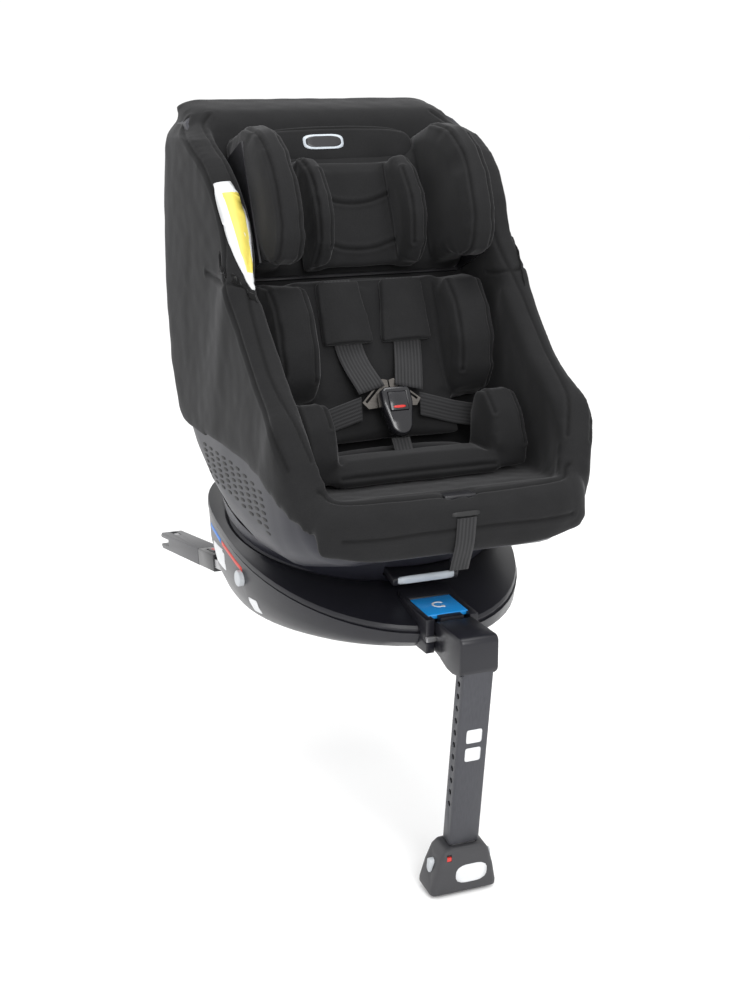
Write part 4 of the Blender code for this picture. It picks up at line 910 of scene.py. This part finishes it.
# ---------------------------------------------------------------- labels, loops and vents
def strip(tree, rows, thick, across=6, parts=4):
    """A thin closed sheet lying on a surface, from rows of (left, right) ends, with its edges eased down."""
    lefts, rights = (rounded([row[k] for row in rows], parts) for k in (0, 1))
    last, count = len(lefts) - 1, across + 1
    top, under = [], []
    for i, (left, right) in enumerate(zip(lefts, rights)):
        for j in range(count):
            place, normal, *_ = tree.find_nearest(left.lerp(right, j / across))
            edge = i in (0, last) or j in (0, across)
            top.append(place + normal * thick * (0.4 if edge else 1.0))
            under.append(place - normal * 0.0004)
    shift = len(top)
    faces = []
    for i in range(last):
        for j in range(across):
            quad = (i * count + j, i * count + j + 1, (i + 1) * count + j + 1, (i + 1) * count + j)
            faces += [quad, tuple(k + shift for k in quad[::-1])]
    border = list(range(count)) + [i * count + across for i in range(1, last + 1)]
    border += [last * count + j for j in range(across - 1, -1, -1)]
    border += [i * count for i in range(last - 1, 0, -1)]
    faces += [(a, a + shift, b + shift, b) for a, b in zip(border, border[1:] + border[:1])]
    return top + under, faces


def oval(centre, across, up, size, power=4.0, rows=9):
    """Rows of a rounded rectangle."""
    made = []
    across, up = Vector(across).normalized(), Vector(up).normalized()
    for i in range(rows):
        v = 0.985 * math.sin(math.pi * (i / (rows - 1) - 0.5))
        half = size[0] / 2 * (1 - abs(v) ** power) ** (1 / power)
        middle = Vector(centre) + up * (v * size[1] / 2)
        made.append((middle - across * half, middle + across * half))
    return made


def detail(name, body, slot, material, strips):
    """One piece made of one or more strips."""
    points, faces = [], []
    for some_points, some_faces in strips:
        faces += [tuple(k + len(points) for k in face) for face in some_faces]
        points += some_points
    new_piece(name, points, faces, material, body)


def on_node(name, node, slot, material, *ovals, thick=0.0008):
    """Ovals stuck on a carried-over CAD node, riding with it."""
    tree = surface_of(NODES[node])
    strips = [strip(tree, rows, thick, parts=1) for rows in ovals]
    detail(name, NODES[node]["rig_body"], slot, material, strips)


def make_badge():
    """A plain woven patch on the headrest's band."""
    tree = surface_of(bpy.data.objects["headrest_band"])
    place = (back_point(-0.020, -0.017, 0.178), (1.0, 0.0, 0.0), BACK.to_3x3() @ Vector((0.0, 0.0, 1.0)))
    border = strip(tree, oval(*place, (0.056, 0.0205)), 0.0010, 10)
    field = strip(tree, oval(*place, (0.0505, 0.0150)), 0.0016, 10)
    detail("patch_border", "headrest", "webbing_grey", SILVER, [border])
    detail("patch_field", "headrest", "webbing_grey", BLACK, [field])


# The rim label from its top down: the two ends' x, then y and z.
LABEL_ROWS = ((-0.1990, -0.1780, -0.0105, 0.552), (-0.1970, -0.1680, -0.0250, 0.525),
              (-0.1940, -0.1630, -0.0400, 0.498), (-0.1890, -0.1630, -0.0560, 0.470),
              (-0.1810, -0.1650, -0.0720, 0.445), (-0.1750, -0.1690, -0.0815, 0.430))
LABEL_THICK, BAND_THICK = 0.0028, 0.0034
LOOP_HALF, LOOP_THICK = 0.0055, 0.0026
STRIPE_HALF = 0.0032
ARROW_RADIUS, ARROW_HALF = 0.0074, 0.0013


def make_side_labels(cover):
    """The blank label on the right rim, and the elastic loops that hold the cover on both rims."""
    tree = surface_of(cover)
    rows = [(Vector((low, y, z)), Vector((high, y, z))) for low, high, y, z in LABEL_ROWS]
    detail("rim_label", "seat", "button_grey", WHITE, [strip(tree, rows, LABEL_THICK, 8)])
    inner = [(low.lerp(high, 0.28), low.lerp(high, 0.92)) for low, high in rows[:-1]]
    inner[0] = tuple(a.lerp(b, 0.45) for a, b in zip(inner[0], inner[1]))
    detail("rim_label_band", "seat", "button_grey", YELLOW, [strip(tree, inner, BAND_THICK, 8)])
    loops = {"right": ((-0.2000, -0.0350, 0.4680), (-0.1960, -0.0520, 0.4480), (-0.1860, -0.0780, 0.4300),
                       (-0.1740, -0.0880, 0.4170)),
             "left": ((0.1990, -0.0400, 0.4720), (0.1975, -0.0620, 0.4560), (0.1940, -0.0800, 0.4380),
                      (0.1900, -0.0900, 0.4180))}
    for tag, line in loops.items():
        aside = Vector((0.0, 0.55, 0.84)) * LOOP_HALF
        rows = [(Vector(p) - aside, Vector(p) + aside) for p in line]
        detail(f"rim_loop_{tag}", "seat", "fabric_black", BINDING, [strip(tree, rows, LOOP_THICK, 5, 6)])


def make_stickers():
    """Blank labels and stripes, the strap's slot as a dark sheet of painted shade, the blue button's arrow
    and the red marks.
    """
    right, back, up = (1.0, 0.0, 0.0), (0.0, 1.0, 0.0), (0.0, 0.0, 1.0)
    forward = (0.0, -1.0, 0.0)
    on_node("handle_label", "recline_handle", "grey_plastic", SILVER,
            oval((0.0, -0.2137, 0.0818), right, up, (0.076, 0.0115), 8.0))
    tree = surface_of(bpy.data.objects["cover_soft"])
    # The strap's slot is not cut: a dark sheet on the cover paints the shade inside the opening.
    detail("strap_slot", "seat", "base_black", OPENING_SHADE,
           [strip(tree, oval((0.0, -0.3250, 0.1930), right, up, (0.0360, 0.0065), 4.0), 0.0014)])
    leg_up = LEG.to_3x3() @ Vector(up)
    squares = [oval((0.0005, y, z), right, leg_up, (0.0205, 0.0185), 8.0)
               for y, z in ((-0.3520, -0.0748), (-0.3485, -0.0995))]
    on_node("leg_labels", "leg_outer_tube", "button_grey", WHITE, *squares)
    on_node("foot_label", "foot_housing", "button_grey", WHITE,
            oval((0.0080, -0.3358, -0.2640), right, (0.0, -0.11, 0.99), (0.0420, 0.0260), 3.0))
    on_node("base_label", "base_lower_shell", "button_grey", WHITE,
            oval((-0.1857, 0.0480, 0.0560), forward, up, (0.0560, 0.0300), 9.0))
    on_node("base_sticker", "base_lower_shell", "button_grey", WHITE,
            oval((-0.1745, -0.0663, 0.0197), forward, (-0.46, 0.0, 0.88), (0.0240, 0.0220), 9.0))
    base = surface_of(NODES["base_lower_shell"])
    blue_line = ((0.0900, 0.0880), (0.0600, 0.0860), (0.0320, 0.0810))
    red_line = ((0.0280, 0.0800), (-0.0100, 0.0735), (-0.0480, 0.0640))
    for name, material, slot, line in (("base_stripe_blue", LABEL_BLUE, "button_blue", blue_line),
                                       ("base_stripe_red", LABEL_RED, "indicator_red", red_line)):
        rows = [(Vector((-0.187, y, z - STRIPE_HALF)), Vector((-0.187, y, z + STRIPE_HALF)))
                for y, z in line]
        detail(name, "base", slot, material, [strip(base, rows, 0.0006, 3, 6)])
    for side, tag in SIDES:
        on_node(f"release_mark_{tag}", f"isofix_release_{tag}", "indicator_red", RED,
                oval((side * 0.1400, 0.2090, 0.0146), right, back, (0.0120, 0.0220), 5.0))
    lean = BUCKLE.to_3x3() @ Vector(up)
    on_node("buckle_mark", "buckle_button", "indicator_red", RED,
            oval((0.0, -0.1300, 0.2805), right, lean, (0.0165, 0.0034), 3.0), thick=0.0005)
    hub = Vector((0.0, -0.2500, 0.0580))
    arrow = []
    shaft = [(angle, ARROW_HALF) for angle in range(30, 291, 20)]
    head = [(291, 0.0037), (306, 0.0021), (321, 0.0003)]
    for angle, half in shaft + head:
        ray = Vector((math.cos(math.radians(angle)), math.sin(math.radians(angle)), 0.0))
        arrow.append((hub + ray * (ARROW_RADIUS - half), hub + ray * (ARROW_RADIUS + half)))
    on_node("button_arrow", "rotation_button", "button_grey", WHITE, arrow, thick=0.0006)


VENT_ROWS, VENT_COLUMNS = 7, 9
VENT_START, VENT_PITCH, VENT_SLANT = 0.0620, 0.0275, 0.0040
VENT_MARGIN, VENT_ROW_PITCH = 0.0100, 0.0066
VENT_SIZE = (0.0180, 0.0044)
COVER_HEM = ((0.0700, 0.2175), (-0.0600, 0.2185), (-0.1500, 0.2100), (-0.2250, 0.1900))    # (y, z)


def make_vents():
    """Rows of narrow dark sheets on both lower sides of the shell, below the cover's hem: painted shade in
    place of the vent holes.
    """
    tree = surface_of(NODES["seat_shell"])
    for side, tag in SIDES:
        slots = []
        for row in range(VENT_ROWS):
            for column in range(VENT_COLUMNS):
                y = VENT_START - VENT_PITCH * column - VENT_SLANT * row
                hem = float(np.interp(-y, [-p[0] for p in COVER_HEM], [p[1] for p in COVER_HEM]))
                place = (side * 0.197, y, hem - VENT_MARGIN - VENT_ROW_PITCH * row)
                slot = oval(place, (0.0, 1.0, -0.05), (0.0, 0.0, 1.0), VENT_SIZE, 2.6, 5)
                slots.append(strip(tree, slot, 0.0005, 3, 1))
        detail(f"vents_{tag}", "seat", "base_black", OPENING_SHADE, slots)


make_camera()
make_stage()
dress_cad_nodes()
soft_cover = make_cover()
make_headrest()
make_inserts()
make_harness()
make_badge()
make_side_labels(soft_cover)
make_stickers()
make_vents()
finish_cad_surfaces()
